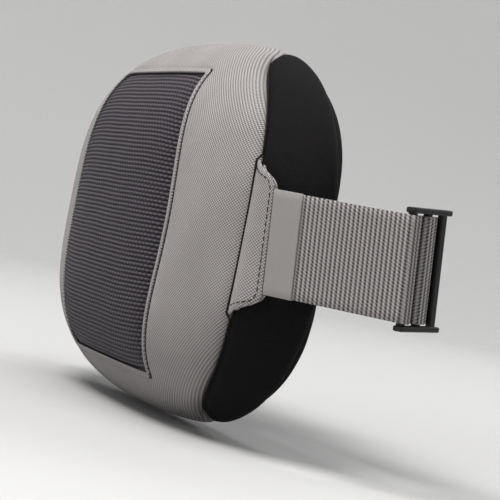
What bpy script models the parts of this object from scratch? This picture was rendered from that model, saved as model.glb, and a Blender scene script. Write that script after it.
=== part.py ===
"""Lumbar support cushion, held on a chair back by a webbing loop.

Units are metres. +X runs across the chair back, +Y points out of the cushion's flat rear face
towards the chair, and +Z is up. The origin is the middle of that rear face. The strap is shown
as worn, closed round a chair back that isn't part of the object.
"""

import math

import bmesh
import bpy
from mathutils import Matrix, Vector

# Gap between pieces that touch on the real object
GAP = 0.0003

# Cushion: an oval pebble with a crowned front and a flat rear face
HALF_WIDTH = 0.1747
HALF_HEIGHT = 0.103
CROWN_DEPTH = 0.0548
RIM_DEPTH = 0.010
COVER = 0.0015
FOAM_INSET = COVER + 0.0004
REAR_SEAM_Y = -0.0031
SECTION_COUNT = 8
ANGLE_STEP = 10

# Powers that shape the oval: how full it is towards its ends, and how each section rounds over
HEIGHT_END_POWER = 3.08
HEIGHT_ROUND = 1 / 2.18
CROWN_END_POWER = 2.8
CROWN_ROUND = 1 / 1.71
RIM_END_POWER = 16
RIM_FILL = 1.02
FRONT_HEIGHT_POWER = 0.473
FRONT_DEPTH_POWER = 1.34
REAR_HEIGHT_POWER = 0.125
REAR_FLAT_FILL = 1.04

# Cutting tools reach past the cushion by these
CUT_FRONT_Y = -0.08
CUT_WINDOW_Y = -0.025
CUT_REAR_Y = 0.02
CUT_X = 0.22
CUT_Z = 0.14

# Side seam, a barrel-shaped line seen from the front
SEAM_X = 0.149
SEAM_Z = 0.129
SEAM_BOW_POWER = 3.56
SEAM_ROUND = 1.33

# Window in the front panel. Its sides bow out: WINDOW_BOW is the share of its width lost at each end
WINDOW_X = 0.0855
WINDOW_Z = 0.0795
WINDOW_RADIUS = 0.003
WINDOW_BOW = 0.19
WINDOW_STEP = 0.012
BINDING_RADIUS = 0.005
BINDING_WIDTH = 0.0022
BINDING_PROUD = 0.0006

# Zip across the lower part of the rear face, in a shallow channel
ZIP_Z = -0.052
ZIP_HALF_LENGTH = 0.104
CHANNEL_HALF = 0.006
CHANNEL_FLOOR_Y = -0.0058
TAPE = 0.0006
FLANGE_HALF = 0.013
COIL_HALF = 0.002
COIL_TOP_Y = -0.0043
TOOTH_PITCH = 0.008
SLIDER_X = -0.080
PIN_Y = -0.00235
PIN_RADIUS = 0.0006

# Webbing and the sewn tongues
WEB = 0.0014
WEB_HALF = 0.025
FABRIC = 0.0008
LABEL = 0.0005
TONGUE_ROOT = Vector((0.1487, -0.0434))
TONGUE_ANGLE = math.radians(30.1)
TONGUE_LENGTH = 0.0195
LABEL_LENGTH = 0.0165
TONGUE_OUTLINE = ((0.0, 0.0380), (0.015, 0.0314), (0.018, 0.0294), (0.0195, 0.0268))
TONGUE_STATIONS = 13
SEWN_START = 0.0045

# Slide adjuster: three bars between two rails, hung on the strap's front run
BAR_ONE = Vector((0.2248, 0.0119))
ADJUSTER_ANGLE = math.radians(118)
BAR_PITCH = 0.0115
BAR_HALF = 0.0022
BAR_THICK_HALF = 0.0015
RAIL_INNER = 0.026
RAIL_OUTER = 0.0287
RAIL_BACK = -0.0022
RAIL_FRONT = 0.0033
LEAN = math.radians(5.1)
HINGE_GAP = 0.0005
WEAVE_END = 0.0266
WEAVE_SPLIT = 0.0008

# Rear run of the strap and the side-release buckle
REAR_Y = 0.0373
LAYER = WEB + GAP
TAIL_END_X = 0.142
LEAN_START = 0.102
LEAN_END = 0.202
LEAN_STEPS = 10
LEFT_CORNER_X = 0.212
BUCKLE = Vector((-0.0137, 0.0401))
BUCKLE_HALF_Y = 0.0065
BUCKLE_HALF_Z = 0.032
SOCKET_LENGTH = 0.038
CAVITY_LENGTH = 0.033
BUTTON_WINDOW = (0.0144, 0.0282)
PLUG_LENGTH = 0.010
GUIDE_LENGTH = 0.030
PRONG_HALF_THICK = 0.0032
PRONG_ROOT = Vector((0.0010, 0.0170))
SOCKET_BAR = 0.049
PLUG_BAR = -0.022
LOOP_BAR_THICK_HALF = 0.0018
CAVITY_HALF_Z = 0.0263
CAVITY_HALF_Y = 0.0037


def clear_scene():
    for item in list(bpy.data.objects):
        bpy.data.objects.remove(item, do_unlink=True)


def material(name, colour, roughness, metallic=0.0):
    made = bpy.data.materials.new(name)
    made.use_nodes = True
    shader = made.node_tree.nodes["Principled BSDF"]
    shader.inputs["Base Color"].default_value = (*colour, 1.0)
    shader.inputs["Roughness"].default_value = roughness
    shader.inputs["Metallic"].default_value = metallic
    return made


def dress(made, finish):
    """Give a part its material, or hide a cutting tool, which has none."""
    if finish is None:
        made.hide_render = True
        made.display_type = "WIRE"
    else:
        made.data.materials.append(finish)
    return made


def add_object(name, points, faces, finish=None):
    """One closed mesh with its faces turned outwards."""
    mesh = bpy.data.meshes.new(name)
    mesh.from_pydata([tuple(point) for point in points], [], faces)
    shape = bmesh.new()
    shape.from_mesh(mesh)
    bmesh.ops.recalc_face_normals(shape, faces=shape.faces)
    shape.to_mesh(mesh)
    shape.free()
    made = bpy.data.objects.new(name, mesh)
    bpy.context.scene.collection.objects.link(made)
    return dress(made, finish)


def boolean(target, other, operation):
    """Add a Boolean modifier; the other object is a hidden tool."""
    step = target.modifiers.new(other.name, "BOOLEAN")
    step.operation = operation
    step.solver = "EXACT"
    step.object = other
    return target


def prism(name, outline, low, high, axis="Y", finish=None):
    """Extrude a closed outline along one axis, from low to high."""
    count = len(outline)
    place = {
        "X": lambda a, b, depth: (depth, a, b),
        "Y": lambda a, b, depth: (a, depth, b),
        "Z": lambda a, b, depth: (a, b, depth),
    }[axis]
    points = [place(a, b, low) for a, b in outline] + [place(a, b, high) for a, b in outline]
    faces = [list(range(count)), list(range(2 * count - 1, count - 1, -1))]
    for i in range(count):
        j = (i + 1) % count
        faces.append([i, j, count + j, count + i])
    return add_object(name, points, faces, finish)


def block(name, low, high, bevel=0.0, finish=None):
    """A box between two corners, its edges rounded by bevel."""
    shape = bmesh.new()
    bmesh.ops.create_cube(shape, size=1.0)
    size = Vector(high) - Vector(low)
    middle = (Vector(high) + Vector(low)) / 2
    bmesh.ops.scale(shape, vec=size, verts=shape.verts)
    bmesh.ops.translate(shape, vec=middle, verts=shape.verts)
    if bevel > 0:
        bmesh.ops.bevel(shape, geom=shape.edges[:], offset=bevel, segments=2, profile=0.5, affect="EDGES")
    mesh = bpy.data.meshes.new(name)
    shape.to_mesh(mesh)
    shape.free()
    made = bpy.data.objects.new(name, mesh)
    bpy.context.scene.collection.objects.link(made)
    return dress(made, finish)


# ---------------------------------------------------------------- cushion

def section_sizes(x, inset):
    """Half height, crown and rim of the section at x, on a surface set in from the outside."""
    share = min(abs(x) / (HALF_WIDTH - inset), 1.0)
    height = (HALF_HEIGHT - inset) * (1 - share ** HEIGHT_END_POWER) ** HEIGHT_ROUND
    crown = (CROWN_DEPTH - inset) * (1 - share ** CROWN_END_POWER) ** CROWN_ROUND
    rim = (RIM_DEPTH - inset) * min(1.0, RIM_FILL * math.sqrt(1 - share ** RIM_END_POWER))
    return height, crown, rim


def cushion_point(x, angle, inset):
    """Angle 0 is the middle of the front, 90 degrees the top edge and 180 the rear."""
    height, crown, rim = section_sizes(x, inset)
    rise = round(math.sin(angle), 9)
    facing = round(math.cos(angle), 9)
    if facing >= 0:
        z = height * math.copysign(abs(rise) ** FRONT_HEIGHT_POWER, rise)
        y = -RIM_DEPTH - crown * facing ** FRONT_DEPTH_POWER
    else:
        z = height * math.copysign(abs(rise) ** REAR_HEIGHT_POWER, rise)
        y = -RIM_DEPTH + rim * min(1.0, -REAR_FLAT_FILL * facing)
    return (x, y, z)


def pebble(name, inset, finish=None):
    """The cushion's whole outer shape, set in from the outside by inset."""
    half_width = HALF_WIDTH - inset
    points = [(-half_width, -RIM_DEPTH, 0.0), (half_width, -RIM_DEPTH, 0.0)]
    angles = [math.radians(a) for a in range(0, 360, ANGLE_STEP)]
    steps = range(1 - SECTION_COUNT, SECTION_COUNT)
    for step in steps:
        x = half_width * math.sin(math.radians(90 * step / SECTION_COUNT))
        points += [cushion_point(x, angle, inset) for angle in angles]
    ring = len(angles)
    faces = []
    for section in range(len(steps) - 1):
        for i in range(ring):
            j = (i + 1) % ring
            a = 2 + section * ring
            faces.append([a + i, a + j, a + ring + j, a + ring + i])
    last = 2 + (len(steps) - 1) * ring
    for i in range(ring):
        j = (i + 1) % ring
        faces.append([0, 2 + j, 2 + i])
        faces.append([1, last + i, last + j])
    return add_object(name, points, faces, finish)


def barrel_outline(grow):
    """The side seams seen from the front, as one closed barrel."""
    half_x = SEAM_X + grow
    half_z = SEAM_Z + grow
    quarter = []
    for step in range(0, 91, 6):
        share = math.sin(math.radians(step))
        quarter.append((half_x * (1 - share ** SEAM_BOW_POWER) ** SEAM_ROUND, half_z * share))
    right = [(x, -z) for x, z in reversed(quarter[1:])] + quarter
    left = [(-x, -z) for x, z in right[1:-1]]
    return right + left


def rounded_rectangle(half_x, half_z, radius):
    outline = []
    for turn, corner_x, corner_z in ((0, 1, 1), (90, -1, 1), (180, -1, -1), (270, 1, -1)):
        for step in (0, 30, 60, 90):
            angle = math.radians(turn + step)
            x = corner_x * (half_x - radius) + radius * math.cos(angle)
            z = corner_z * (half_z - radius) + radius * math.sin(angle)
            outline.append((x, z))
    return outline


def window_outline(grow, radius):
    """The window seen from the front, grown on every side."""
    loop = rounded_rectangle(WINDOW_X + grow, WINDOW_Z + grow, radius)
    outline = []
    for (x, z), (next_x, next_z) in zip(loop, loop[1:] + loop[:1]):
        count = max(1, round(abs(next_z - z) / WINDOW_STEP))
        for step in range(count):
            share = step / count
            at_z = z + (next_z - z) * share
            at_x = x + (next_x - x) * share
            outline.append((at_x * (1 - WINDOW_BOW * (at_z / WINDOW_Z) ** 2), at_z))
    return outline


def cover_shell(name, finish, outside=0.0, inside=COVER):
    """The whole cover as a hollow skin, to be cut down to one panel."""
    shell = pebble(name, outside, finish)
    return boolean(shell, pebble(name + "_inner", inside), "DIFFERENCE")


def cushion(gray, black, mesh_black, foam):
    front = cover_shell("front_panel", gray)
    seam = prism("front_trim", barrel_outline(-GAP / 2), CUT_FRONT_Y, REAR_SEAM_Y)
    boolean(front, seam, "INTERSECT")
    edge = BINDING_WIDTH + GAP
    hole = window_outline(edge, BINDING_RADIUS)
    boolean(front, prism("front_hole", hole, CUT_FRONT_Y, CUT_WINDOW_Y), "DIFFERENCE")

    binding = cover_shell("window_binding", gray, outside=-BINDING_PROUD)
    outer = window_outline(BINDING_WIDTH, BINDING_RADIUS)
    boolean(binding, prism("binding_outer", outer, CUT_FRONT_Y, CUT_WINDOW_Y), "INTERSECT")
    inner = window_outline(0.0, WINDOW_RADIUS)
    boolean(binding, prism("binding_inner", inner, CUT_FRONT_Y, CUT_WINDOW_Y), "DIFFERENCE")

    mesh_panel = cover_shell("mesh_panel", mesh_black)
    panel = window_outline(-GAP, WINDOW_RADIUS)
    boolean(mesh_panel, prism("mesh_trim", panel, CUT_FRONT_Y, CUT_WINDOW_Y), "INTERSECT")

    for side, sign in (("right", 1), ("left", -1)):
        cap = cover_shell("end_cap_" + side, black)
        seam = prism("cap_seam_" + side, barrel_outline(GAP / 2), CUT_FRONT_Y, CUT_REAR_Y)
        boolean(cap, seam, "DIFFERENCE")
        near, far = sorted((sign * CUT_REAR_Y, sign * CUT_X))
        half = block("cap_side_" + side, (near, CUT_FRONT_Y, -CUT_Z), (far, REAR_SEAM_Y, CUT_Z))
        boolean(cap, half, "INTERSECT")

    back = cover_shell("back_panel", black)
    rear = block("back_trim", (-CUT_X, REAR_SEAM_Y + GAP, -CUT_Z), (CUT_X, CUT_REAR_Y, CUT_Z))
    boolean(back, rear, "INTERSECT")
    slot = block(
        "back_slot",
        (-ZIP_HALF_LENGTH, CHANNEL_FLOOR_Y, ZIP_Z - CHANNEL_HALF),
        (ZIP_HALF_LENGTH, CUT_REAR_Y, ZIP_Z + CHANNEL_HALF),
    )
    boolean(back, slot, "DIFFERENCE")

    core = pebble("foam_core", FOAM_INSET, foam)
    length = ZIP_HALF_LENGTH + 2 * GAP
    channel = CHANNEL_HALF + TAPE + GAP
    floor = CHANNEL_FLOOR_Y - TAPE - GAP
    flange = FLANGE_HALF + GAP
    groove = block("foam_groove", (-length, floor, ZIP_Z - channel), (length, CUT_REAR_Y, ZIP_Z + channel))
    boolean(core, groove, "DIFFERENCE")
    ledge_y = -COVER - GAP - TAPE - GAP
    ledge = block("foam_ledge", (-length, ledge_y, ZIP_Z - flange), (length, CUT_REAR_Y, ZIP_Z + flange))
    boolean(core, ledge, "DIFFERENCE")


# ---------------------------------------------------------------- zip

def zip_closure(tape_black, metal):
    top = -COVER - GAP
    floor = CHANNEL_FLOOR_Y
    half = CHANNEL_HALF
    wall = half + TAPE
    hat = [(floor, -half), (floor, half), (top, half), (top, FLANGE_HALF), (top - TAPE, FLANGE_HALF)]
    hat += [(top - TAPE, wall), (floor - TAPE, wall), (floor - TAPE, -wall), (top - TAPE, -wall)]
    hat += [(top - TAPE, -FLANGE_HALF), (top, -FLANGE_HALF), (top, -half)]
    hat = [(y, ZIP_Z + z) for y, z in hat]
    length = ZIP_HALF_LENGTH - 2 * GAP
    prism("zipper_tape", hat, -length, length, axis="X", finish=tape_black)

    # the closed coil: a strip whose edges step in and out at the tooth pitch
    coil_half_length = length - 0.0022
    pairs = round(2 * coil_half_length / TOOTH_PITCH)
    pitch = 2 * coil_half_length / pairs
    edge = []
    for tooth in range(pairs):
        start = -coil_half_length + tooth * pitch
        edge += [(start, COIL_HALF * 0.7), (start + pitch * 0.25, COIL_HALF)]
        edge += [(start + pitch * 0.65, COIL_HALF), (start + pitch * 0.9, COIL_HALF * 0.7)]
    edge.append((coil_half_length, COIL_HALF * 0.7))
    outline = [(x, ZIP_Z + z) for x, z in edge] + [(x, ZIP_Z - z) for x, z in reversed(edge)]
    prism("zipper_coil", outline, floor + GAP, COIL_TOP_Y, finish=tape_black)

    stop_half_z = COIL_HALF + 0.0006
    for side, sign in (("left", -1), ("right", 1)):
        near, far = sorted((sign * (coil_half_length + GAP), sign * (length - GAP)))
        low = (near, floor + GAP, ZIP_Z - stop_half_z)
        high = (far, COIL_TOP_Y + 0.0005, ZIP_Z + stop_half_z)
        block("zipper_stop_" + side, low, high, bevel=0.0002, finish=metal)

    slider(metal)
    pull_tab(metal)


def slider(metal):
    """A plate over the coil with two flanges down its sides and a bail on top."""
    plate_low = COIL_TOP_Y + GAP
    plate_high = plate_low + 0.0008
    half_x = 0.0055
    half_z = 0.0038
    body = block(
        "zipper_slider",
        (SLIDER_X - half_x, plate_low, ZIP_Z - half_z),
        (SLIDER_X + half_x, plate_high, ZIP_Z + half_z),
        bevel=0.0002,
        finish=metal,
    )
    for side, sign in (("low", -1), ("high", 1)):
        near, far = sorted((ZIP_Z + sign * 0.0026, ZIP_Z + sign * (half_z - 0.0001)))
        low = (SLIDER_X - half_x + 0.0004, CHANNEL_FLOOR_Y + GAP, near)
        high = (SLIDER_X + half_x - 0.0004, plate_high - 0.0003, far)
        boolean(body, block("slider_flange_" + side, low, high), "UNION")
    bail_top = PIN_Y + 0.0018
    bail = block(
        "slider_bail",
        (SLIDER_X - 0.0034, plate_high - 0.0004, ZIP_Z - 0.0014),
        (SLIDER_X + 0.0034, bail_top, ZIP_Z + 0.0014),
        bevel=0.0002,
    )
    boolean(body, bail, "UNION")
    tunnel = block(
        "slider_tunnel",
        (SLIDER_X - 0.0022, plate_high, ZIP_Z - 0.003),
        (SLIDER_X + 0.0022, PIN_Y + 0.0009, ZIP_Z + 0.003),
    )
    boolean(body, tunnel, "DIFFERENCE")


def pull_tab(metal):
    """Two arms and a tab on a cross pin. The object's origin is on the pin's axis."""
    half = PIN_RADIUS
    outline = [(-0.0004, 0.0019), (0.0068, 0.0019), (0.0068, -0.0019), (-0.0004, -0.0019)]
    outline += [(-0.0004, -0.0029), (0.0068, -0.0029), (0.0084, -0.0034), (0.0230, -0.0034)]
    outline += [(0.0247, -0.0020), (0.0247, 0.0020), (0.0230, 0.0034), (0.0084, 0.0034)]
    outline += [(0.0068, 0.0029), (-0.0004, 0.0029)]
    pull = prism("zipper_pull", outline, -half, half, finish=metal)
    ring = [(half * math.cos(math.radians(a)), half * math.sin(math.radians(a))) for a in range(0, 360, 45)]
    pin = prism("pull_pin", ring, -0.0024, 0.0024, axis="Z")
    boolean(pull, pin, "UNION")
    at = Vector((SLIDER_X + 0.0013, PIN_Y, ZIP_Z))
    pull.location = at
    pin.location = at


# ---------------------------------------------------------------- straps

def direction(angle):
    return Vector((math.cos(angle), math.sin(angle)))


def adjuster_point(along, out):
    """A plan point in the adjuster's own directions, measured from its first bar."""
    forward = direction(ADJUSTER_ANGLE)
    outward = Vector((forward.y, -forward.x))
    return BAR_ONE + forward * along + outward * out


def rounded_path(corners, steps=4):
    """Plan points along straight runs joined by arcs; each corner is (point, radius)."""
    path = [corners[0][0]]
    for before, here, after in zip(corners, corners[1:], corners[2:]):
        point, radius = here
        into = (point - before[0]).normalized()
        away = (after[0] - point).normalized()
        turn = into.angle_signed(away)
        if radius == 0 or abs(turn) < 0.01:
            path.append(point)
            continue
        tangent = radius * math.tan(abs(turn) / 2)
        side = Vector((into.y, -into.x)) * math.copysign(1, turn)
        centre = point - into * tangent + side * radius
        count = max(2, round(steps * abs(turn) / (math.pi / 2)))
        for i in range(count + 1):
            spin = Matrix.Rotation(-turn * i / count, 2)
            path.append(centre + spin @ (-side * radius))
    path.append(corners[-1][0])
    return path


def offset_path(path, distance):
    """Shift a plan path sideways; positive is to the right of its direction."""
    shifted = []
    for i, point in enumerate(path):
        ahead = path[min(i + 1, len(path) - 1)]
        behind = path[max(i - 1, 0)]
        along = (ahead - behind).normalized()
        shifted.append(point + Vector((along.y, -along.x)) * distance)
    return shifted


def ribbon(name, path, thickness, finish, half_heights=None, shares=None, pivot_y=None):
    """A flat band that follows a plan path. Shares of LEAN tip each station about X."""
    count = len(path)
    half_heights = half_heights or [WEB_HALF] * count
    shares = shares or [0.0] * count
    outer = offset_path(path, thickness / 2)
    inner = offset_path(path, -thickness / 2)
    points = []
    for i in range(count):
        centre_y = path[i].y if pivot_y is None else pivot_y
        tip = LEAN * shares[i]
        half = half_heights[i]
        for edge, z in ((outer[i], half), (inner[i], half), (inner[i], -half), (outer[i], -half)):
            away = edge.y - centre_y
            y = centre_y + away * math.cos(tip) - z * math.sin(tip)
            points.append((edge.x, y, away * math.sin(tip) + z * math.cos(tip)))
    faces = [[0, 1, 2, 3], [4 * count - 1, 4 * count - 2, 4 * count - 3, 4 * count - 4]]
    for i in range(count - 1):
        a = 4 * i
        for k in range(4):
            m = (k + 1) % 4
            faces.append([a + k, a + m, a + 4 + m, a + 4 + k])
    return add_object(name, points, faces, finish)


def tongue_stations():
    return [TONGUE_LENGTH * i / TONGUE_STATIONS for i in range(TONGUE_STATIONS + 1)]


def tongue_half_height(s):
    """Half the tongue's height at a distance s from its seam."""
    for (near, near_half), (far, far_half) in zip(TONGUE_OUTLINE, TONGUE_OUTLINE[1:]):
        if s <= far:
            return near_half + (far_half - near_half) * (s - near) / (far - near)
    return TONGUE_OUTLINE[-1][1]


def sewn_end():
    """The webbing's path inside the tongue, with a station wherever the tongue has one."""
    along = direction(TONGUE_ANGLE)
    return [TONGUE_ROOT + along * s for s in tongue_stations() if SEWN_START <= s < TONGUE_LENGTH - GAP]


def mirrored(path):
    return [Vector((-point.x, point.y)) for point in path]


def tongues(gray):
    """Two fabric layers on each side, with the end of the webbing sewn between them."""
    along = direction(TONGUE_ANGLE)
    path = [TONGUE_ROOT + along * s for s in tongue_stations()]
    heights = [tongue_half_height(s) for s in tongue_stations()]
    shares = [(s / TONGUE_LENGTH) ** 2 for s in tongue_stations()]
    step = WEB / 2 + GAP + FABRIC / 2
    for side in ("right", "left"):
        for layer, sign in (("outer", 1), ("inner", -1)):
            name = "tongue_" + side + "_" + layer
            shifted = offset_path(path, sign * step)
            if side == "right":
                ribbon(name, shifted, FABRIC, gray, heights, shares)
            else:
                ribbon(name, mirrored(shifted), FABRIC, gray, heights)


def front_run_end():
    """Where the front run passes the adjuster's first bar."""
    return adjuster_point(-(BAR_HALF + HINGE_GAP + WEB / 2), 0.0)


def strap_label(satin):
    along = direction(TONGUE_ANGLE)
    start = TONGUE_ROOT + along * (TONGUE_LENGTH + GAP)
    turn = TONGUE_ROOT + along * TONGUE_LENGTH
    run = (front_run_end() - turn).normalized()
    path = [start, start + run * LABEL_LENGTH / 2, start + run * LABEL_LENGTH]
    path = offset_path(path, WEB / 2 + GAP + LABEL / 2)
    heights = [WEB_HALF + 0.0004] * len(path)
    ribbon("strap_label", path, LABEL, satin, heights, [1.0] * len(path))


def right_front_strap(webbing):
    """From inside the right tongue to the first bar, round it, and back to be sewn down."""
    along = direction(TONGUE_ANGLE)
    side = BAR_HALF + HINGE_GAP + WEB / 2
    top = BAR_THICK_HALF + HINGE_GAP + WEB / 2
    corners = [(point, 0) for point in sewn_end()]
    corners += [
        (TONGUE_ROOT + along * TONGUE_LENGTH, 0.02),
        (adjuster_point(-side, top), 0.0016),
        (adjuster_point(side, top), 0.0016),
        (adjuster_point(side, -0.0034), 0.0020),
        (adjuster_point(-side - 0.0003 + LAYER, -0.0095), 0.0020),
        (adjuster_point(-side - 0.0006 + LAYER, -0.0260), 0),
    ]
    path = rounded_path(corners)
    shares = []
    for point in path:
        s = (point - TONGUE_ROOT).dot(along)
        shares.append(min(1.0, s / TONGUE_LENGTH) ** 2)
    ribbon("strap_right_front", path, WEB, webbing, shares=shares)


def lean_stations(start):
    """Even stations along the rear run, shared by the layers that lean together."""
    step = (LEAN_END - LEAN_START) / LEAN_STEPS
    return [LEAN_START + step * i for i in range(LEAN_STEPS + 1) if LEAN_START + step * i > start - GAP]


def rear_lean(path):
    """The lean fades out from the adjuster to the straight part of the rear run."""
    return [max(0.0, min(1.0, (point.x - LEAN_START) / (LEAN_END - LEAN_START))) for point in path]


def right_rear_strap(webbing):
    """Socket bar to adjuster, the weave over its middle bar, and the free tail."""
    bar_x = BUCKLE.x + SOCKET_BAR
    reach_x = BAR_HALF + GAP + WEB / 2
    reach_y = LOOP_BAR_THICK_HALF + GAP + WEB / 2
    under = -(BAR_THICK_HALF + GAP + WEB / 2)
    over = -under
    tail = under - LAYER - GAP
    split = WEAVE_END + WEAVE_SPLIT
    rear_bend = adjuster_point((REAR_Y - adjuster_point(0, under).y) / direction(ADJUSTER_ANGLE).y, under)
    tail_y = REAR_Y - LAYER
    tail_bend = adjuster_point((tail_y - adjuster_point(0, tail).y) / direction(ADJUSTER_ANGLE).y, tail)

    corners = [
        (Vector((bar_x + 0.021, REAR_Y + LAYER)), 0),
        (Vector((bar_x + 0.0075, REAR_Y + LAYER)), 0.002),
        (Vector((bar_x + 0.0035, BUCKLE.y + reach_y)), 0.002),
        (Vector((bar_x - reach_x, BUCKLE.y + reach_y)), 0.0016),
        (Vector((bar_x - reach_x, REAR_Y)), 0.0016),
        *[(Vector((x, REAR_Y)), 0) for x in lean_stations(LEAN_START)],
        (rear_bend, 0.004),
        (adjuster_point(split, under), 0),
    ]
    path = rounded_path(corners)
    ribbon("strap_right_rear", path, WEB, webbing, shares=rear_lean(path), pivot_y=BAR_ONE.y)

    corners = [
        (adjuster_point(WEAVE_END, under), 0),
        (adjuster_point(2 * BAR_PITCH - 0.0030, under), 0.0012),
        (adjuster_point(BAR_PITCH + 0.0031, over), 0.0012),
        (adjuster_point(BAR_PITCH - 0.0032, over), 0.0012),
        (adjuster_point(BAR_PITCH - 0.0049, tail), 0.0012),
        (adjuster_point(WEAVE_END, tail), 0),
    ]
    path = rounded_path(corners)
    ribbon("strap_weave", path, WEB, webbing, shares=[1.0] * len(path), pivot_y=BAR_ONE.y)

    corners = [
        (adjuster_point(split, tail), 0),
        (tail_bend, 0.003),
        *[(Vector((x, tail_y)), 0) for x in reversed(lean_stations(TAIL_END_X))],
    ]
    path = rounded_path(corners)
    ribbon("strap_tail", path, WEB, webbing, shares=rear_lean(path), pivot_y=BAR_ONE.y)


def left_strap(webbing):
    """Plug bar, rear run, left corner and front run, to inside the left tongue."""
    bar_x = BUCKLE.x + PLUG_BAR
    reach_x = BAR_HALF + GAP + WEB / 2
    reach_y = LOOP_BAR_THICK_HALF + GAP + WEB / 2
    along = direction(math.pi - TONGUE_ANGLE)
    root = Vector((-TONGUE_ROOT.x, TONGUE_ROOT.y))
    front_end = mirrored([front_run_end()])[0]
    tongue_end = root + along * TONGUE_LENGTH
    run = (front_end - tongue_end).normalized()
    corners = [
        (Vector((bar_x - 0.021, REAR_Y + LAYER)), 0),
        (Vector((bar_x - 0.0075, REAR_Y + LAYER)), 0.002),
        (Vector((bar_x - 0.0035, BUCKLE.y + reach_y)), 0.002),
        (Vector((bar_x + reach_x, BUCKLE.y + reach_y)), 0.0016),
        (Vector((bar_x + reach_x, REAR_Y)), 0.0016),
        (Vector((-LEFT_CORNER_X, REAR_Y)), 0.010),
        (front_end + run * 0.002, 0.009),
        (tongue_end, 0.02),
        (root + along * SEWN_START, 0),
    ]
    ribbon("strap_left", rounded_path(corners), WEB, webbing)


# ---------------------------------------------------------------- hard parts

def adjuster(plastic):
    """Slide adjuster. Its own X runs along the strap and its own Z along the bars."""
    length = 2 * BAR_PITCH + BAR_HALF + 0.0014
    start = -BAR_HALF - 0.0008
    upper = (start, -RAIL_FRONT, RAIL_INNER), (length, -RAIL_BACK, RAIL_OUTER)
    lower = (start, -RAIL_FRONT, -RAIL_OUTER), (length, -RAIL_BACK, -RAIL_INNER)
    frame = block("adjuster", *upper, bevel=0.0008, finish=plastic)
    tools = []
    for number in range(3):
        middle = number * BAR_PITCH
        low = (middle - BAR_HALF, -BAR_THICK_HALF, -RAIL_INNER - 0.0009)
        high = (middle + BAR_HALF, BAR_THICK_HALF, RAIL_INNER + 0.0009)
        tools.append(block("adjuster_bar_" + str(number + 1), low, high, 0.0009))
    tools.append(block("adjuster_rail", *lower, bevel=0.0008))
    for tool in tools:
        boolean(frame, tool, "UNION")
    spin = Matrix.Rotation(ADJUSTER_ANGLE, 4, "Z")
    tip = Matrix.Rotation(LEAN, 4, "X")
    at = Matrix.Translation((BAR_ONE.x, BAR_ONE.y, 0))
    for item in [frame] + tools:
        item.matrix_world = at @ tip @ spin


def socket(plastic):
    x = BUCKLE.x
    y = BUCKLE.y
    body = block(
        "buckle_socket",
        (x + 0.0004, y - BUCKLE_HALF_Y, -BUCKLE_HALF_Z),
        (x + SOCKET_LENGTH, y + BUCKLE_HALF_Y, BUCKLE_HALF_Z),
        bevel=0.0018,
        finish=plastic,
    )
    cavity = block(
        "socket_cavity",
        (x - 0.005, y - CAVITY_HALF_Y, -CAVITY_HALF_Z),
        (x + CAVITY_LENGTH, y + CAVITY_HALF_Y, CAVITY_HALF_Z),
    )
    boolean(body, cavity, "DIFFERENCE")
    windows = block(
        "socket_windows",
        (x + BUTTON_WINDOW[0], y - CAVITY_HALF_Y, -BUCKLE_HALF_Z - 0.002),
        (x + BUTTON_WINDOW[1], y + CAVITY_HALF_Y, BUCKLE_HALF_Z + 0.002),
    )
    boolean(body, windows, "DIFFERENCE")
    loop_bar(body, "socket", x + SOCKET_LENGTH - 0.0015, x + SOCKET_BAR, 1)


def loop_bar(body, name, start_x, bar_x, sign):
    """Two arms and the bar that the webbing is sewn round."""
    y = BUCKLE.y
    near, far = sorted((start_x, bar_x + sign * (BAR_HALF + 0.0002)))
    for side, z in (("low", -1), ("high", 1)):
        low_z, high_z = sorted((z * 0.0266, z * (BUCKLE_HALF_Z - 0.0006)))
        arm = block(name + "_arm_" + side, (near, y - 0.004, low_z), (far, y + 0.004, high_z), 0.0009)
        boolean(body, arm, "UNION")
    low = (bar_x - BAR_HALF, y - LOOP_BAR_THICK_HALF, -0.0280)
    high = (bar_x + BAR_HALF, y + LOOP_BAR_THICK_HALF, 0.0280)
    boolean(body, block(name + "_bar", low, high, 0.0009), "UNION")


def plug(plastic):
    x = BUCKLE.x
    y = BUCKLE.y
    body = block(
        "buckle_plug",
        (x - PLUG_LENGTH, y - BUCKLE_HALF_Y + GAP, -BUCKLE_HALF_Z + 0.0005),
        (x, y + BUCKLE_HALF_Y - GAP, BUCKLE_HALF_Z - 0.0005),
        bevel=0.0015,
        finish=plastic,
    )
    guide = block("plug_guide", (x - 0.003, y - 0.003, -0.005), (x + GUIDE_LENGTH, y + 0.003, 0.005), 0.001)
    boolean(body, guide, "UNION")
    loop_bar(body, "plug", x - PLUG_LENGTH + 0.0015, x + PLUG_BAR, -1)


def prongs(plastic):
    """The two sprung arms whose heads show in the socket's side windows; each origin is its root."""
    outline = [(0.0004, 0.0145), (0.0150, 0.0170), (0.0255, 0.0175), (0.0275, 0.0200), (0.0265, 0.0270)]
    outline += [(0.0240, 0.0310), (0.0150, 0.0310), (0.0150, 0.0215), (0.0004, 0.0195)]
    for name, sign in (("buckle_prong_upper", 1), ("buckle_prong_lower", -1)):
        points = [(x - PRONG_ROOT.x, sign * (z - PRONG_ROOT.y)) for x, z in outline]
        arm = prism(name, points, -PRONG_HALF_THICK, PRONG_HALF_THICK, finish=plastic)
        arm.location = (BUCKLE.x + PRONG_ROOT.x, BUCKLE.y, sign * PRONG_ROOT.y)


def shade_parts():
    """Curved pieces shaded smooth, with their hard edges kept."""
    for item in bpy.data.objects:
        if item.hide_render:
            continue
        item.data.shade_smooth()
        item.data.set_sharp_from_angle(angle=math.radians(32))


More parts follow.
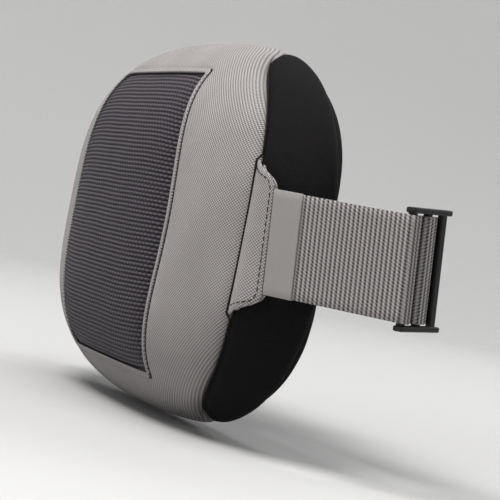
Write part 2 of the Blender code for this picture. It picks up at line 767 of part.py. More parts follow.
def main():
    clear_scene()
    gray = material("gray_fabric", (0.27, 0.26, 0.255), 0.85)
    black = material("black_fabric", (0.012, 0.012, 0.013), 0.8)
    mesh_black = material("black_air_mesh", (0.03, 0.028, 0.032), 0.9)
    foam = material("foam", (0.75, 0.72, 0.6), 0.95)
    webbing = material("gray_webbing", (0.25, 0.24, 0.235), 0.8)
    satin = material("satin_label", (0.3, 0.29, 0.285), 0.5)
    plastic = material("black_plastic", (0.02, 0.02, 0.022), 0.35)
    tape_black = material("zipper_tape", (0.012, 0.012, 0.012), 0.85)
    metal = material("zipper_metal", (0.05, 0.05, 0.055), 0.35, metallic=1.0)

    cushion(gray, black, mesh_black, foam)
    zip_closure(tape_black, metal)
    tongues(gray)
    strap_label(satin)
    right_front_strap(webbing)
    right_rear_strap(webbing)
    left_strap(webbing)
    adjuster(plastic)
    socket(plastic)
    plug(plastic)
    prongs(plastic)
    shade_parts()


main()
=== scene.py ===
"""The looks of the lumbar cushion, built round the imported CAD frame."""

import math

import bmesh
import bpy
import numpy as np
from mathutils import Matrix, Vector


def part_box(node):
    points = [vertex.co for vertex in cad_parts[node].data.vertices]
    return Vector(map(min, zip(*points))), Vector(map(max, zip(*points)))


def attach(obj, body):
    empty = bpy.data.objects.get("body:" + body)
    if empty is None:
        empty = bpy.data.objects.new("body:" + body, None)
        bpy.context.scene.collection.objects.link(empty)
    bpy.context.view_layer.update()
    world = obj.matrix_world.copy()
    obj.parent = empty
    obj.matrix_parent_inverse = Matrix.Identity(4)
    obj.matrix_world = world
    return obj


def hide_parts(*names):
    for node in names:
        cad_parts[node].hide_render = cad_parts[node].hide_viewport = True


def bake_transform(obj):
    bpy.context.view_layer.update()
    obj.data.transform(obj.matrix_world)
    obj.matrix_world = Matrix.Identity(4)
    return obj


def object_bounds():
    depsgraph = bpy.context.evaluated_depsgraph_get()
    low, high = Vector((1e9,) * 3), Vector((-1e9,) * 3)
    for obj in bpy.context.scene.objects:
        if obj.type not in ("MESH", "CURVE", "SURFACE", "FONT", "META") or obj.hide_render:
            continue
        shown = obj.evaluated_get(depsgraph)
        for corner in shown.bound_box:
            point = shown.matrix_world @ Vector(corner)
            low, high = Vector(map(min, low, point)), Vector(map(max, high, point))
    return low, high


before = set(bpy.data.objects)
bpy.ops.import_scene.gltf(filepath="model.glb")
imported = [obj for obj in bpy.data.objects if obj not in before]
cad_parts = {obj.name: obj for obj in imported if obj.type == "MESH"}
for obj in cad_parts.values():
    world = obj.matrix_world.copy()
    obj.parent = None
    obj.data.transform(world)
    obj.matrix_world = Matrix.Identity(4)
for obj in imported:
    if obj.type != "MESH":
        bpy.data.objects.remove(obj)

CAD_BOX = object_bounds()

# ---------------------------------------------------------------- driving sizes, in metres

HALF_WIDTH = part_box("end_cap_right")[1].x
HALF_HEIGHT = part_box("front_panel")[1].z
CROWN_DEPTH = 0.0548
RIM_DEPTH = -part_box("mesh_panel")[0].y - CROWN_DEPTH
REAR_SEAM_Y = -0.0031
REAR_FILL = 1.04
HEIGHT_END_POWER = 3.08
HEIGHT_ROUND = 1 / 2.18
CROWN_END_POWER = 2.8
CROWN_ROUND = 1 / 1.71
RIM_END_POWER = 16
RIM_FILL = 1.02
FRONT_HEIGHT_POWER = 0.473
FRONT_DEPTH_POWER = 1.34
REAR_HEIGHT_POWER = 0.125
SEAM_X = 0.149
SEAM_Z = 0.129
SEAM_BOW_POWER = 3.56
SEAM_ROUND = 1.33
WINDOW_X = 0.0855
WINDOW_Z = 0.0795
WINDOW_BOW = 0.19
WELT = 0.0024
WELT_RADIUS = 0.003
WELT_HALF_HEIGHT = 0.0006
HOLE_X = WINDOW_X + WELT
HOLE_Z = WINDOW_Z + WELT

ZIP_Z = -0.052
SLOT_HALF_LENGTH = 0.1032
CHANNEL_HALF = 0.006
COIL_PITCH = 0.0016
FOAM_INSET = 0.007

WEB = 0.0014
WEB_HALF = 0.025
FABRIC = 0.0008
GAP = 0.0003
LAYER = WEB + GAP
TONGUE_ROOT = Vector((0.1487, -0.0434))
TONGUE_ANGLE = math.radians(30.1)
TONGUE_LENGTH = 0.0195
TONGUE_DIP = 0.0055
TONGUE_RISE_END = 0.0075
TONGUE_OUTLINE = ((0.0, 0.0380), (0.015, 0.0314), (0.018, 0.0294), (0.0195, 0.0268))
LABEL_LENGTH = 0.0165
LABEL = 0.0005

BAR_ONE = Vector((0.2248, 0.0119))
ADJUSTER_ANGLE = math.radians(118)
BAR_PITCH = 0.0115
BAR_HALF = 0.0022
BAR_THICK_HALF = 0.0015
HINGE_GAP = 0.0005
LEAN = math.radians(5.1)
LEAN_START = 0.102
LEAN_END = 0.202
LEFT_CORNER_X = 0.212
REAR_Y = 0.0373
TAIL_END_X = 0.142
BUCKLE = Vector((-0.0137, 0.0401))
SOCKET_BAR = 0.049
PLUG_BAR = -0.022
LOOP_BAR_THICK_HALF = 0.0018

RIB_PITCH = 0.0025
RIB_PROUD = 0.00013
MESH_PITCH = 0.0023
MESH_PROUD = 0.00030
MESH_COLUMNS = 56
MESH_ROWS_PER_RIB = 8
HOLE_PITCH = 0.0042
BEAD_PITCH = 0.00165
BEAD_SLANT = 0.45

CLOTH_THICKNESS = 0.0012
MESH_THICKNESS = 0.0014

# Thread
SPOKES = 6
TOPSTITCH_LENGTH = 0.0030
TOPSTITCH_GAP = 0.0005
# Radius of the dark tube down each side seam, which is partly thread and partly painted shade in the crease.
SEAM_SHADE_THREAD_RADIUS = 0.00055
BOX_STITCH_LENGTH = 0.0105

# Cover grid: cells along a side, cells outwards from the window, over the cap and over the rim
SIDE_CELLS = 56
TOP_CELLS = 40
RADIAL_CELLS = 22
CAP_CELLS = 26
RIM_CELLS = 6
BACK_CELLS = 26

# Padding: the simulation, its cap, and how far the cloth is drawn in at its seams
SIM_FRAMES = 20
PRESSURE = 200
PUFF_LIMIT = 0.0040
SEAM_DEPTH = 0.0030
SEAM_REACH = 0.0030
WINDOW_SINK = 0.0007
WINDOW_REACH = 0.0016


# ---------------------------------------------------------------- the cushion's surface

def section(x):
    """Half height, crown and rim of the cushion at x."""
    share = np.clip(np.abs(x) / HALF_WIDTH, 0, 1)
    height = HALF_HEIGHT * (1 - share ** HEIGHT_END_POWER) ** HEIGHT_ROUND
    crown = CROWN_DEPTH * (1 - share ** CROWN_END_POWER) ** CROWN_ROUND
    rim = RIM_DEPTH * np.minimum(1, RIM_FILL * np.sqrt(1 - share ** RIM_END_POWER))
    return height, crown, rim


def front_y(x, z):
    """Depth of the front face over a point of the plan seen from the front."""
    height, crown, _ = section(x)
    share = np.clip(np.abs(z) / np.maximum(height, 1e-6), 0, 1)
    return -RIM_DEPTH - crown * (1 - share ** (2 / FRONT_HEIGHT_POWER)) ** (FRONT_DEPTH_POWER / 2)


def rear_y(x, z):
    height, _, rim = section(x)
    share = np.clip(np.abs(z) / np.maximum(height, 1e-6), 0, 1)
    return -RIM_DEPTH + rim * np.minimum(1, REAR_FILL * np.sqrt(1 - share ** (2 / REAR_HEIGHT_POWER)))


def seam_x(z):
    return SEAM_X * (1 - np.clip(np.abs(z) / SEAM_Z, 0, 1) ** SEAM_BOW_POWER) ** SEAM_ROUND


def bowed(x, z):
    """The window's sides bow out: x at height z, for a given x at mid height."""
    return x * (1 - WINDOW_BOW * (z / WINDOW_Z) ** 2)


def corner():
    """Where the side seam crosses the outline, at the top right."""
    low, high = 0.08, HALF_HEIGHT
    for _ in range(60):
        z = (low + high) / 2
        height = section(np.array(seam_x(z)))[0]
        if height > z:
            low = z
        else:
            high = z
    return float(seam_x(low)), low


def run_lengths(points):
    """Distance along a polyline at each of its points."""
    return np.concatenate([[0], np.cumsum(np.linalg.norm(np.diff(points, axis=0), axis=1))])


def sample(points, run, wanted):
    """A polyline's points at the wanted distances."""
    return np.stack([np.interp(wanted, run, points[:, k]) for k in range(points.shape[1])], -1)


def even(points, count):
    """Resample a polyline at even arc lengths, into count cells."""
    run = run_lengths(points)
    return sample(points, run, np.linspace(0, run[-1], count + 1))


def front_line(start, end, count):
    """A line on the front face between two points of the plan."""
    t = 1 - (1 - np.linspace(0, 1, 400)) ** 3
    x = start[0] + (end[0] - start[0]) * t
    z = start[1] + (end[1] - start[1]) * t
    return even(np.stack([x, front_y(x, z), z], 1), count)


def rim_line(edge, count, before=None):
    """From an outline point back over the rim to the rear seam, or on from a line before it."""
    inward = -np.array(edge) / np.hypot(*edge)
    t = np.linspace(0, 1, 500) ** 3 * 0.03
    x = edge[0] + inward[0] * t
    z = edge[1] + inward[1] * t
    y = rear_y(x, z)
    last = int(np.argmax(y >= REAR_SEAM_Y)) or len(y) - 1
    points = np.stack([x, y, z], 1)[:last + 1]
    points[0, 1] = -RIM_DEPTH
    if before is not None:
        points = np.concatenate([before, points[1:]])
    return even(points, count)


def outline_point(direction_x, direction_z, start):
    """Where a plan ray meets the cushion's outline."""
    low, high = 0.0, 0.3
    for _ in range(60):
        t = (low + high) / 2
        x = start[0] + direction_x * t
        z = start[1] + direction_z * t
        inside = abs(x) < HALF_WIDTH and abs(z) < section(np.array(x))[0]
        low, high = (t, high) if inside else (low, t)
    return start[0] + direction_x * low, start[1] + direction_z * low


def side_patches():
    """Grids for the right side: front cloth out to the seam, and the cap beyond it."""
    corner_x, corner_z = corner()
    front = []
    cap = []
    for i in range(SIDE_CELLS + 1):
        share = 2 * i / SIDE_CELLS - 1
        z = corner_z * math.copysign(1 - (1 - abs(share)) ** 1.15, share)
        seam = (float(seam_x(z)), z)
        front.append(front_line((bowed(HOLE_X, HOLE_Z * share), HOLE_Z * share), seam, RADIAL_CELLS))
        ray = Vector((1.0, z / corner_z * 0.25)).normalized()
        if i in (0, SIDE_CELLS):
            cap.append(rim_line((corner_x, z), CAP_CELLS))
            continue
        edge = outline_point(ray.x, ray.y, seam)
        before = front_line(seam, edge, 200)
        cap.append(rim_line(edge, CAP_CELLS, before))
    return np.array(front), np.array(cap)


def top_patch():
    """Grid from the window's top edge, over the top, to the rear seam."""
    corner_x, corner_z = corner()
    rows = []
    for i in range(TOP_CELLS + 1):
        share = 2 * i / TOP_CELLS - 1
        x = corner_x * share
        edge = (x, float(section(np.array(x))[0]) if 0 < i < TOP_CELLS else corner_z)
        front = front_line((bowed(HOLE_X, HOLE_Z) * share, HOLE_Z), edge, RADIAL_CELLS)
        rows.append(np.concatenate([front, rim_line(edge, RIM_CELLS)[1:]]))
    return np.array(rows)


def window_patch():
    """Grid of the window itself, for the simulation."""
    x = HOLE_X * (2 * np.arange(TOP_CELLS + 1) / TOP_CELLS - 1)
    z = HOLE_Z * (2 * np.arange(SIDE_CELLS + 1) / SIDE_CELLS - 1)
    grid_x, grid_z = np.meshgrid(x, z, indexing="ij")
    grid_x = bowed(grid_x, grid_z)
    return np.stack([grid_x, front_y(grid_x, grid_z), grid_z], 2)


def rear_loop(patches):
    """The rear seam as one closed loop, from the ends of the caps and the top and bottom."""
    right = patches["cap_right"][:, -1]
    top = patches["top"][::-1, -1]
    left = patches["cap_left"][::-1, -1]
    bottom = patches["bottom"][:, -1]
    return np.concatenate([right[:-1], top[:-1], left[:-1], bottom[:-1]])


def back_patch(loop):
    """Rings from the rear seam in to the middle of the flat rear face."""
    rings = []
    for i in range(BACK_CELLS + 1):
        scale = 1 - (i / BACK_CELLS) ** 1.3 * 0.985
        x = loop[:, 0] * scale
        z = loop[:, 2] * scale
        y = loop[:, 1] if i == 0 else np.maximum(rear_y(x, z), REAR_SEAM_Y)
        rings.append(np.stack([x, y, z], 1))
    return np.array(rings)


def flipped(grid, axis):
    out = grid.copy()
    out[..., axis] *= -1
    return out


def cover_patches():
    front, cap = side_patches()
    top = top_patch()
    patches = {
        "right": front,
        "left": flipped(front, 0),
        "top": top,
        "bottom": flipped(top, 2),
        "cap_right": cap,
        "cap_left": flipped(cap, 0),
        "window": window_patch(),
    }
    patches["back"] = back_patch(rear_loop(patches))
    return patches


# ---------------------------------------------------------------- mesh helpers

def grid_faces(rows, columns, closed=False):
    faces = []
    for i in range(rows if closed else rows - 1):
        k = (i + 1) % rows
        for j in range(columns - 1):
            faces.append((i * columns + j, k * columns + j, k * columns + j + 1, i * columns + j + 1))
    return faces


def tube_faces(rows, ring):
    faces = []
    for i in range(rows - 1):
        for k in range(ring):
            m = (k + 1) % ring
            faces.append((i * ring + k, i * ring + m, (i + 1) * ring + m, (i + 1) * ring + k))
    return faces


def weld(parts, closed=()):
    """Join named grids into one point list. Gives points, faces and each grid's point indices."""
    index = {}
    points = []
    faces = []
    numbers = {}
    for name, grid in parts.items():
        ids = np.empty(grid.shape[:2], int)
        for i, j in np.ndindex(*grid.shape[:2]):
            key = tuple(np.round(grid[i, j] / 2e-5).astype(int))
            if key not in index:
                index[key] = len(points)
                points.append(grid[i, j])
            ids[i, j] = index[key]
        numbers[name] = ids
        flat = ids.ravel()
        for face in grid_faces(*grid.shape[:2], closed=name in closed):
            found = list(dict.fromkeys(int(flat[k]) for k in face))
            if len(found) > 2:
                faces.append(found)
    return np.array(points), faces, numbers


def new_object(name, points, faces, material=None):
    mesh = bpy.data.meshes.new(name)
    mesh.from_pydata([tuple(map(float, p)) for p in points], [], faces)
    shape = bmesh.new()
    shape.from_mesh(mesh)
    bmesh.ops.recalc_face_normals(shape, faces=shape.faces)
    shape.to_mesh(mesh)
    shape.free()
    mesh.shade_smooth()
    made = bpy.data.objects.new(name, mesh)
    bpy.context.scene.collection.objects.link(made)
    if material:
        mesh.materials.append(material)
    return made


def from_bmesh(name, shape, material=None):
    """A new object from a bmesh, smooth where it has a material."""
    mesh = bpy.data.meshes.new(name)
    shape.to_mesh(mesh)
    shape.free()
    if material:
        mesh.shade_smooth()
        mesh.materials.append(material)
    made = bpy.data.objects.new(name, mesh)
    bpy.context.scene.collection.objects.link(made)
    return made


def add_ring(shape, centre, one, two, radius):
    """A ring of points round a centre, in the plane of two directions."""
    ring = []
    for spoke in range(SPOKES):
        angle = 2 * math.pi * spoke / SPOKES
        ring.append(shape.verts.new(centre + (one * math.cos(angle) + two * math.sin(angle)) * radius))
    return ring


def bridge(shape, rings):
    """Join rings of points into one capped tube."""
    for one, two in zip(rings, rings[1:]):
        for k in range(SPOKES):
            m = (k + 1) % SPOKES
            shape.faces.new((one[k], one[m], two[m], two[k]))
    shape.faces.new(rings[0][::-1])
    shape.faces.new(rings[-1])


def stands_for(made, slot, *nodes):
    """A piece that rides on the cushion in place of CAD nodes."""
    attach(made, "cushion")
    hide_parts(*nodes)


def set_weave(made, coordinates):
    """Store each point's place in its cloth, in metres, for the weave to follow."""
    layer = made.data.uv_layers.new(name="weave")
    loops = np.empty(len(made.data.loops), int)
    made.data.loops.foreach_get("vertex_index", loops)
    layer.data.foreach_set("uv", np.asarray(coordinates, float)[loops].ravel())


def weave_of(grid):
    """Arc lengths along a grid's two directions, measured from the middle row and first column."""
    down = np.linalg.norm(np.diff(grid, axis=0), axis=2)
    across = np.linalg.norm(np.diff(grid, axis=1), axis=2)
    u = np.concatenate([np.zeros((1, grid.shape[1])), np.cumsum(down, 0)])
    u -= u[len(u) // 2]
    v = np.concatenate([np.zeros((grid.shape[0], 1)), np.cumsum(across, 1)], 1)
    return np.stack([u, v], 2)


# ---------------------------------------------------------------- the padded cover

def puffed(patches):
    """Swell the cover between its seams by a cloth simulation. Seam points are pinned."""
    points, faces, numbers = weld(patches, closed=("back",))
    pins = set(numbers["window"][[0, -1]].ravel()) | set(numbers["window"][:, [0, -1]].ravel())
    for side in ("right", "left"):
        pins |= set(numbers[side][:, -1]) | set(numbers["cap_" + side][:, -1])
    for side in ("top", "bottom"):
        pins |= set(numbers[side][:, -1])
    for ring in numbers["back"]:
        pins |= set(ring)
    cover = new_object("cover_sim", points, faces)
    holes = bmesh.new()
    holes.from_mesh(cover.data)
    bmesh.ops.holes_fill(holes, edges=[e for e in holes.edges if e.is_boundary], sides=0)
    holes.to_mesh(cover.data)
    holes.free()
    group = cover.vertex_groups.new(name="pins")
    group.add([int(p) for p in pins], 1.0, "REPLACE")
    cloth = cover.modifiers.new("Cloth", "CLOTH")
    cloth.settings.quality = 5
    cloth.settings.use_pressure = True
    cloth.settings.uniform_pressure_force = PRESSURE
    cloth.settings.vertex_group_mass = "pins"
    cloth.settings.effector_weights.gravity = 0
    cloth.point_cache.frame_start = 1
    cloth.point_cache.frame_end = SIM_FRAMES
    scene = bpy.context.scene
    for number in range(1, SIM_FRAMES + 1):
        scene.frame_set(number)
    graph = bpy.context.evaluated_depsgraph_get()
    swollen = cover.evaluated_get(graph)
    after = np.empty(len(swollen.data.vertices) * 3)
    swollen.data.vertices.foreach_get("co", after)
    move = after.reshape(-1, 3)[:len(points)] - points
    far = np.linalg.norm(move, axis=1, keepdims=True)
    move *= PUFF_LIMIT * np.tanh(far / PUFF_LIMIT) / np.maximum(far, 1e-9)
    scene.frame_set(1)
    bpy.data.objects.remove(cover, do_unlink=True)
    points = points + move
    return {name: points[ids] for name, ids in numbers.items()}


def normals(made):
    out = np.empty(len(made.data.vertices) * 3)
    made.data.vertices.foreach_get("normal", out)
    return out.reshape(-1, 3)


def nearest(points, edge):
    """Each point's distance to the nearest point of an edge."""
    out = np.full(len(points), 1.0)
    if len(edge):
        for start in range(0, len(points), 500):
            part = points[start:start + 500]
            out[start:start + 500] = np.sqrt(((part[:, None] - edge[None]) ** 2).sum(2).min(1))
    return out


def sew(made, seam_ids):
    """Draw a panel in towards its sewn edges: deeply along the seams, slightly round the window."""
    points = np.array([v.co for v in made.data.vertices], float)
    edge = points[sorted(seam_ids)]
    at_window = (np.abs(edge[:, 2]) < HOLE_Z + 0.001) & (edge[:, 1] < -RIM_DEPTH)
    at_window &= np.abs(edge[:, 0]) < bowed(HOLE_X + 0.002, edge[:, 2])
    seam = nearest(points, edge[~at_window])
    window = nearest(points, edge[at_window])
    pucker = 0.00016 * np.sin(points[:, 2] * 900 + points[:, 0] * 700) * np.exp(-seam / 0.006)
    depth = SEAM_DEPTH * np.exp(-(seam / SEAM_REACH) ** 1.5)
    depth += WINDOW_SINK * np.exp(-(window / WINDOW_REACH) ** 1.5)
    points -= normals(made) * (depth + pucker * (seam > 1e-5))[:, None]
    made.data.vertices.foreach_set("co", points.ravel())
    made.data.update()


def panel(name, parts, material, nodes, slot, closed=()):
    """One cover panel from its grids: sewn in at its open edges and given its thickness."""
    points, faces, numbers = weld(parts, closed)
    made = new_object(name, points, faces, material)
    coordinates = np.zeros((len(points), 2))
    for part, ids in numbers.items():
        if part in ("right", "left", "top", "bottom"):
            continue
        coordinates[ids] = weave_of(parts[part])
    if "right" in parts:
        coordinates = cloth_places(points)
    set_weave(made, coordinates)
    shape = bmesh.new()
    shape.from_mesh(made.data)
    open_ids = {v.index for e in shape.edges if e.is_boundary for v in e.verts}
    shape.free()
    sew(made, open_ids)
    smooth = made.modifiers.new("Smooth", "SUBSURF")
    smooth.levels = 1
    smooth.render_levels = 1
    thick = made.modifiers.new("Thickness", "SOLIDIFY")
    thick.thickness = CLOTH_THICKNESS
    thick.offset = -1
    stands_for(made, slot, *nodes)
    return made


def cloth_places(points):
    """Weave places of the front cloth: arc length up the section, and across the front."""
    x = np.linspace(0, HALF_WIDTH, 800)
    across = np.concatenate([[0], np.cumsum(np.hypot(np.diff(x), np.diff(front_y(x, 0 * x))))])
    u = np.sign(points[:, 0]) * np.interp(np.abs(points[:, 0]), x, across)
    z = HALF_HEIGHT * (1 - (1 - np.linspace(0, 1, 800)) ** 3)
    up = np.concatenate([[0], np.cumsum(np.hypot(np.diff(z), np.diff(front_y(0 * z, z))))])
    v = np.sign(points[:, 2]) * np.interp(np.abs(points[:, 2]), z, up)
    behind = np.clip(points[:, 1] + RIM_DEPTH, 0, None)
    return np.stack([u, v + np.sign(v) * behind], 1)


def mesh_window(grid, material):
    """The air mesh: ribbed across, full in the middle and sunk where it meets the turned edge."""
    columns = MESH_COLUMNS
    rows = round(2 * WINDOW_Z / MESH_PITCH) * MESH_ROWS_PER_RIB
    overlap = WELT * 0.5
    x = np.linspace(-WINDOW_X - overlap, WINDOW_X + overlap, columns + 1)
    z = np.linspace(-WINDOW_Z - overlap, WINDOW_Z + overlap, rows + 1)
    flat_x, grid_z = np.meshgrid(x, z, indexing="ij")
    grid_x = bowed(flat_x, grid_z)
    puff = grid[..., 1] - front_y(grid[..., 0], grid[..., 2])
    i = (flat_x / HOLE_X + 1) / 2 * TOP_CELLS
    j = (grid_z / HOLE_Z + 1) / 2 * SIDE_CELLS
    i0 = np.clip(i.astype(int), 0, TOP_CELLS - 1)
    j0 = np.clip(j.astype(int), 0, SIDE_CELLS - 1)
    a = i - i0
    b = j - j0
    lift = puff[i0, j0] * (1 - a) * (1 - b) + puff[i0 + 1, j0] * a * (1 - b)
    lift += puff[i0, j0 + 1] * (1 - a) * b + puff[i0 + 1, j0 + 1] * a * b
    side = np.clip(WINDOW_X - np.abs(flat_x), -0.001, None)
    ends = np.clip(WINDOW_Z - np.abs(grid_z), -0.001, None)
    drop = 0.0034 * np.exp(-side / 0.0030) + 0.0022 * np.exp(-ends / 0.0028)
    gather = 1 + 0.9 * np.exp(-side / 0.009)
    wander = 0.0032 * grid_z / WINDOW_Z * np.exp(-side / 0.020)
    wander += 0.00014 * np.sin(grid_x * 61 + grid_z * 23) + 0.00008 * np.sin(grid_x * 143 - grid_z * 57)
    rib = MESH_PROUD * gather * np.cos(2 * np.pi * (grid_z + wander) / MESH_PITCH)
    y = front_y(grid_x, grid_z) + lift + drop - rib
    points = np.stack([grid_x, y, grid_z], 2)
    made = new_object("air_mesh_window", points.reshape(-1, 3), grid_faces(columns + 1, rows + 1), material)
    set_weave(made, np.stack([grid_x, grid_z + wander], 2).reshape(-1, 2))
    thick = made.modifiers.new("Thickness", "SOLIDIFY")
    thick.thickness = MESH_THICKNESS
    thick.offset = -1
    stands_for(made, "air_mesh", "mesh_panel")


def rectangle_path(half_x, half_z, radius, spacing):
    """Even points round a rounded rectangle of the plan, and their outward directions."""
    corners = []
    for turn, sign_x, sign_z in ((0, 1, 1), (90, -1, 1), (180, -1, -1), (270, 1, -1)):
        for step in range(0, 91, 15):
            angle = math.radians(turn + step)
            x = sign_x * (half_x - radius) + radius * math.cos(angle)
            corners.append((x, sign_z * (half_z - radius) + radius * math.sin(angle)))
    points = np.array(corners + corners[:1])
    run = run_lengths(points)
    path = sample(points, run, np.linspace(0, run[-1], round(run[-1] / spacing) + 1)[:-1])
    path[:, 0] = bowed(path[:, 0], path[:, 1])
    ahead = np.roll(path, -1, 0) - np.roll(path, 1, 0)
    out = np.stack([ahead[:, 1], -ahead[:, 0]], 1)
    return path, out / np.linalg.norm(out, axis=1, keepdims=True)


def front_normal(x, z):
    step = 0.0005
    slope_x = (front_y(x + step, z) - front_y(x - step, z)) / (2 * step)
    slope_z = (front_y(x, z + step) - front_y(x, z - step)) / (2 * step)
    normal = np.stack([slope_x, -np.ones_like(slope_x), slope_z], -1)
    return normal / np.linalg.norm(normal, axis=-1, keepdims=True)


def window_welt(material):
    """The cloth's edge, folded under round the window and stitched down."""
    path, out = rectangle_path(WINDOW_X + WELT / 2, WINDOW_Z + WELT / 2, WELT_RADIUS, 0.002)
    profile = []
    for step in range(16):
        angle = 2 * math.pi * step / 16
        wide = WELT / 2 * math.copysign(abs(math.cos(angle)) ** 0.45, math.cos(angle))
        high = WELT_HALF_HEIGHT * math.copysign(abs(math.sin(angle)) ** 0.45, math.sin(angle))
        profile.append((wide, high))
    rings = []
    for wide, high in profile:
        at = path + out * wide
        base = np.stack([at[:, 0], front_y(at[:, 0], at[:, 1]), at[:, 1]], 1)
        rings.append(base + front_normal(path[:, 0], path[:, 1]) * (high + 0.0001))
    grid = np.array(rings).transpose(1, 0, 2)
    grid = np.concatenate([grid, grid[:, :1]], 1)
    points, faces, _ = weld({"welt": grid}, closed=("welt",))
    made = new_object("window_folded_edge", points, faces, material)
    set_weave(made, points[:, [0, 2]])
    stands_for(made, "gray_fabric", "window_binding")


# ---------------------------------------------------------------- stitches

def stitches(name, path, up, material, length=0.0026, gap=0.0008, radius=0.00022):
    """A row of thread stitches along a path, each a short bent capsule half sunk in the cloth."""
    path = np.asarray(path, float)
    up = np.asarray(up, float)
    run = run_lengths(path)
    shape = bmesh.new()
    for start in np.arange(gap / 2, run[-1] - length, length + gap):
        rings = []
        for share, thick in ((0, 0.35), (0.18, 0.9), (0.5, 1.0), (0.82, 0.9), (1, 0.35)):
            at = start + share * length
            centre = sample(path, run, at)
            ahead = sample(path, run, at + 1e-4) - centre
            normal = sample(up, run, at)
            side = np.cross(ahead, normal)
            side /= max(np.linalg.norm(side), 1e-12)
            lift = normal * radius * (1.6 * math.sin(math.pi * share) - 0.9)
            rings.append(add_ring(shape, centre + lift, side, normal, radius * thick))
        bridge(shape, rings)
    bmesh.ops.recalc_face_normals(shape, faces=shape.faces)
    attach(from_bmesh(name, shape, material), "cushion")


def window_topstitch(material):
    path, _ = rectangle_path(HOLE_X + 0.0004, HOLE_Z + 0.0004, WELT_RADIUS, 0.0015)
    path = np.concatenate([path, path[:1]])
    up = front_normal(path[:, 0], path[:, 1])
    points = np.stack([path[:, 0], front_y(path[:, 0], path[:, 1]), path[:, 1]], 1) - up * 0.0006
    stitches("window_topstitch", points, up, material, TOPSTITCH_LENGTH, TOPSTITCH_GAP, 0.00030)


# ---------------------------------------------------------------- webbing and tongues

def direction(angle):
    return Vector((math.cos(angle), math.sin(angle)))


def adjuster_point(along, out):
    forward = direction(ADJUSTER_ANGLE)
    return BAR_ONE + forward * along + Vector((forward.y, -forward.x)) * out


def rounded_path(corners, steps=10):
    """Plan points along straight runs joined by arcs; each corner is (point, radius)."""
    path = [corners[0][0]]
    for before, (point, radius), after in zip(corners, corners[1:], corners[2:]):
        into = (point - before[0]).normalized()
        away = (after[0] - point).normalized()
        turn = into.angle_signed(away)
        if radius == 0 or abs(turn) < 0.01:
            path.append(point)
            continue
        tangent = radius * math.tan(abs(turn) / 2)
        side = Vector((into.y, -into.x)) * math.copysign(1, turn)
        centre = point - into * tangent + side * radius
        count = max(3, round(steps * abs(turn) / (math.pi / 2)))
        for i in range(count + 1):
            path.append(centre + Matrix.Rotation(-turn * i / count, 2) @ (-side * radius))
    path.append(corners[-1][0])
    return path


def fine(path, spacing):
    """The plan path at even spacing, with its directions."""
    points = np.array([tuple(p) for p in path], float)
    run = run_lengths(points)
    keep = np.concatenate([[True], np.diff(run) > 1e-7])
    points = points[keep]
    run = run[keep]
    wanted = np.linspace(0, run[-1], max(4, round(run[-1] / spacing)) + 1)
    out = sample(points, run, wanted)
    ahead = np.gradient(out, axis=0)
    ahead /= np.linalg.norm(ahead, axis=1, keepdims=True)
    return out, ahead, wanted


def lean(points, share, pivot_y):
    """Tip points about X at each station, by its share of the adjuster's lean."""
    tip = LEAN * share
    away = points[..., 1] - pivot_y
    out = points.copy()
    out[..., 1] = pivot_y + away * np.cos(tip) - points[..., 2] * np.sin(tip)
    out[..., 2] = away * np.sin(tip) + points[..., 2] * np.cos(tip)
    return out


def band(name, path, thickness, material, half=WEB_HALF, shares=None, pivot=None, spacing=0.0003,
         rib=RIB_PROUD, across=14):
    """A woven band along a plan path, with rounded selvedges and its ribs standing proud."""
    plan, ahead, run = fine(path, spacing)
    right = np.stack([ahead[:, 1], -ahead[:, 0]], 1)
    half = np.full(len(run), half) if np.isscalar(half) else half(run)
    profile = [(t, 1.0) for t in np.linspace(-0.985, 0.985, across)]
    profile += [(0.997, 0.55), (1.0, 0.0), (0.997, -0.55)]
    profile += [(t, -1.0) for t in np.linspace(0.985, -0.985, across)]
    profile += [(-0.997, -0.55), (-1.0, 0.0), (-0.997, 0.55)]
    count = len(profile)
    wave = rib * np.cos(2 * np.pi * run / RIB_PITCH)
    grid = np.empty((len(run), count, 3))
    weave = np.empty((len(run), count, 2))
    for k, (t, level) in enumerate(profile):
        out = level * (thickness / 2 + wave - rib)
        grid[:, k, :2] = plan + right * out[:, None]
        grid[:, k, 2] = half * t
        weave[:, k, 0] = run
        weave[:, k, 1] = half * t
    if shares is not None:
        share = shares(plan, run)[:, None]
        grid = lean(grid, share, plan[:, 1][:, None] if pivot is None else pivot)
    faces = tube_faces(len(run), count)
    faces.append(tuple(range(count)))
    faces.append(tuple(range((len(run) - 1) * count, len(run) * count))[::-1])
    made = new_object(name, grid.reshape(-1, 3), faces, material)
    set_weave(made, weave.reshape(-1, 2))
    return made


def tongue_share(plan, run):
    along = np.array(direction(TONGUE_ANGLE))
    s = (plan - np.array(TONGUE_ROOT)) @ along
    return np.clip(s / TONGUE_LENGTH, 0, 1) ** 2


def rear_share(plan, run):
    return np.clip((plan[:, 0] - LEAN_START) / (LEAN_END - LEAN_START), 0, 1)


def tongue_half(run):
    """Half height along the tongue, whose path starts down in the seam."""
    stations, halves = zip(*TONGUE_OUTLINE)
    return np.interp(run - (run[-1] - TONGUE_LENGTH), stations, halves)


def tongue_half_inner(run):
    """The inner layer is cut a little smaller, so that it stays behind the outer one."""
    return tongue_half(run) - 0.0009


def front_run_end():
    return adjuster_point(-(BAR_HALF + HINGE_GAP + WEB / 2), 0.0)


def shifted(path, distance):
    plan, ahead, _ = fine(path, 0.0005)
    right = np.stack([ahead[:, 1], -ahead[:, 0]], 1)
    return [Vector(p) for p in plan + right * distance]


def mirrored(path):
    return [Vector((-p.x, p.y)) for p in path]


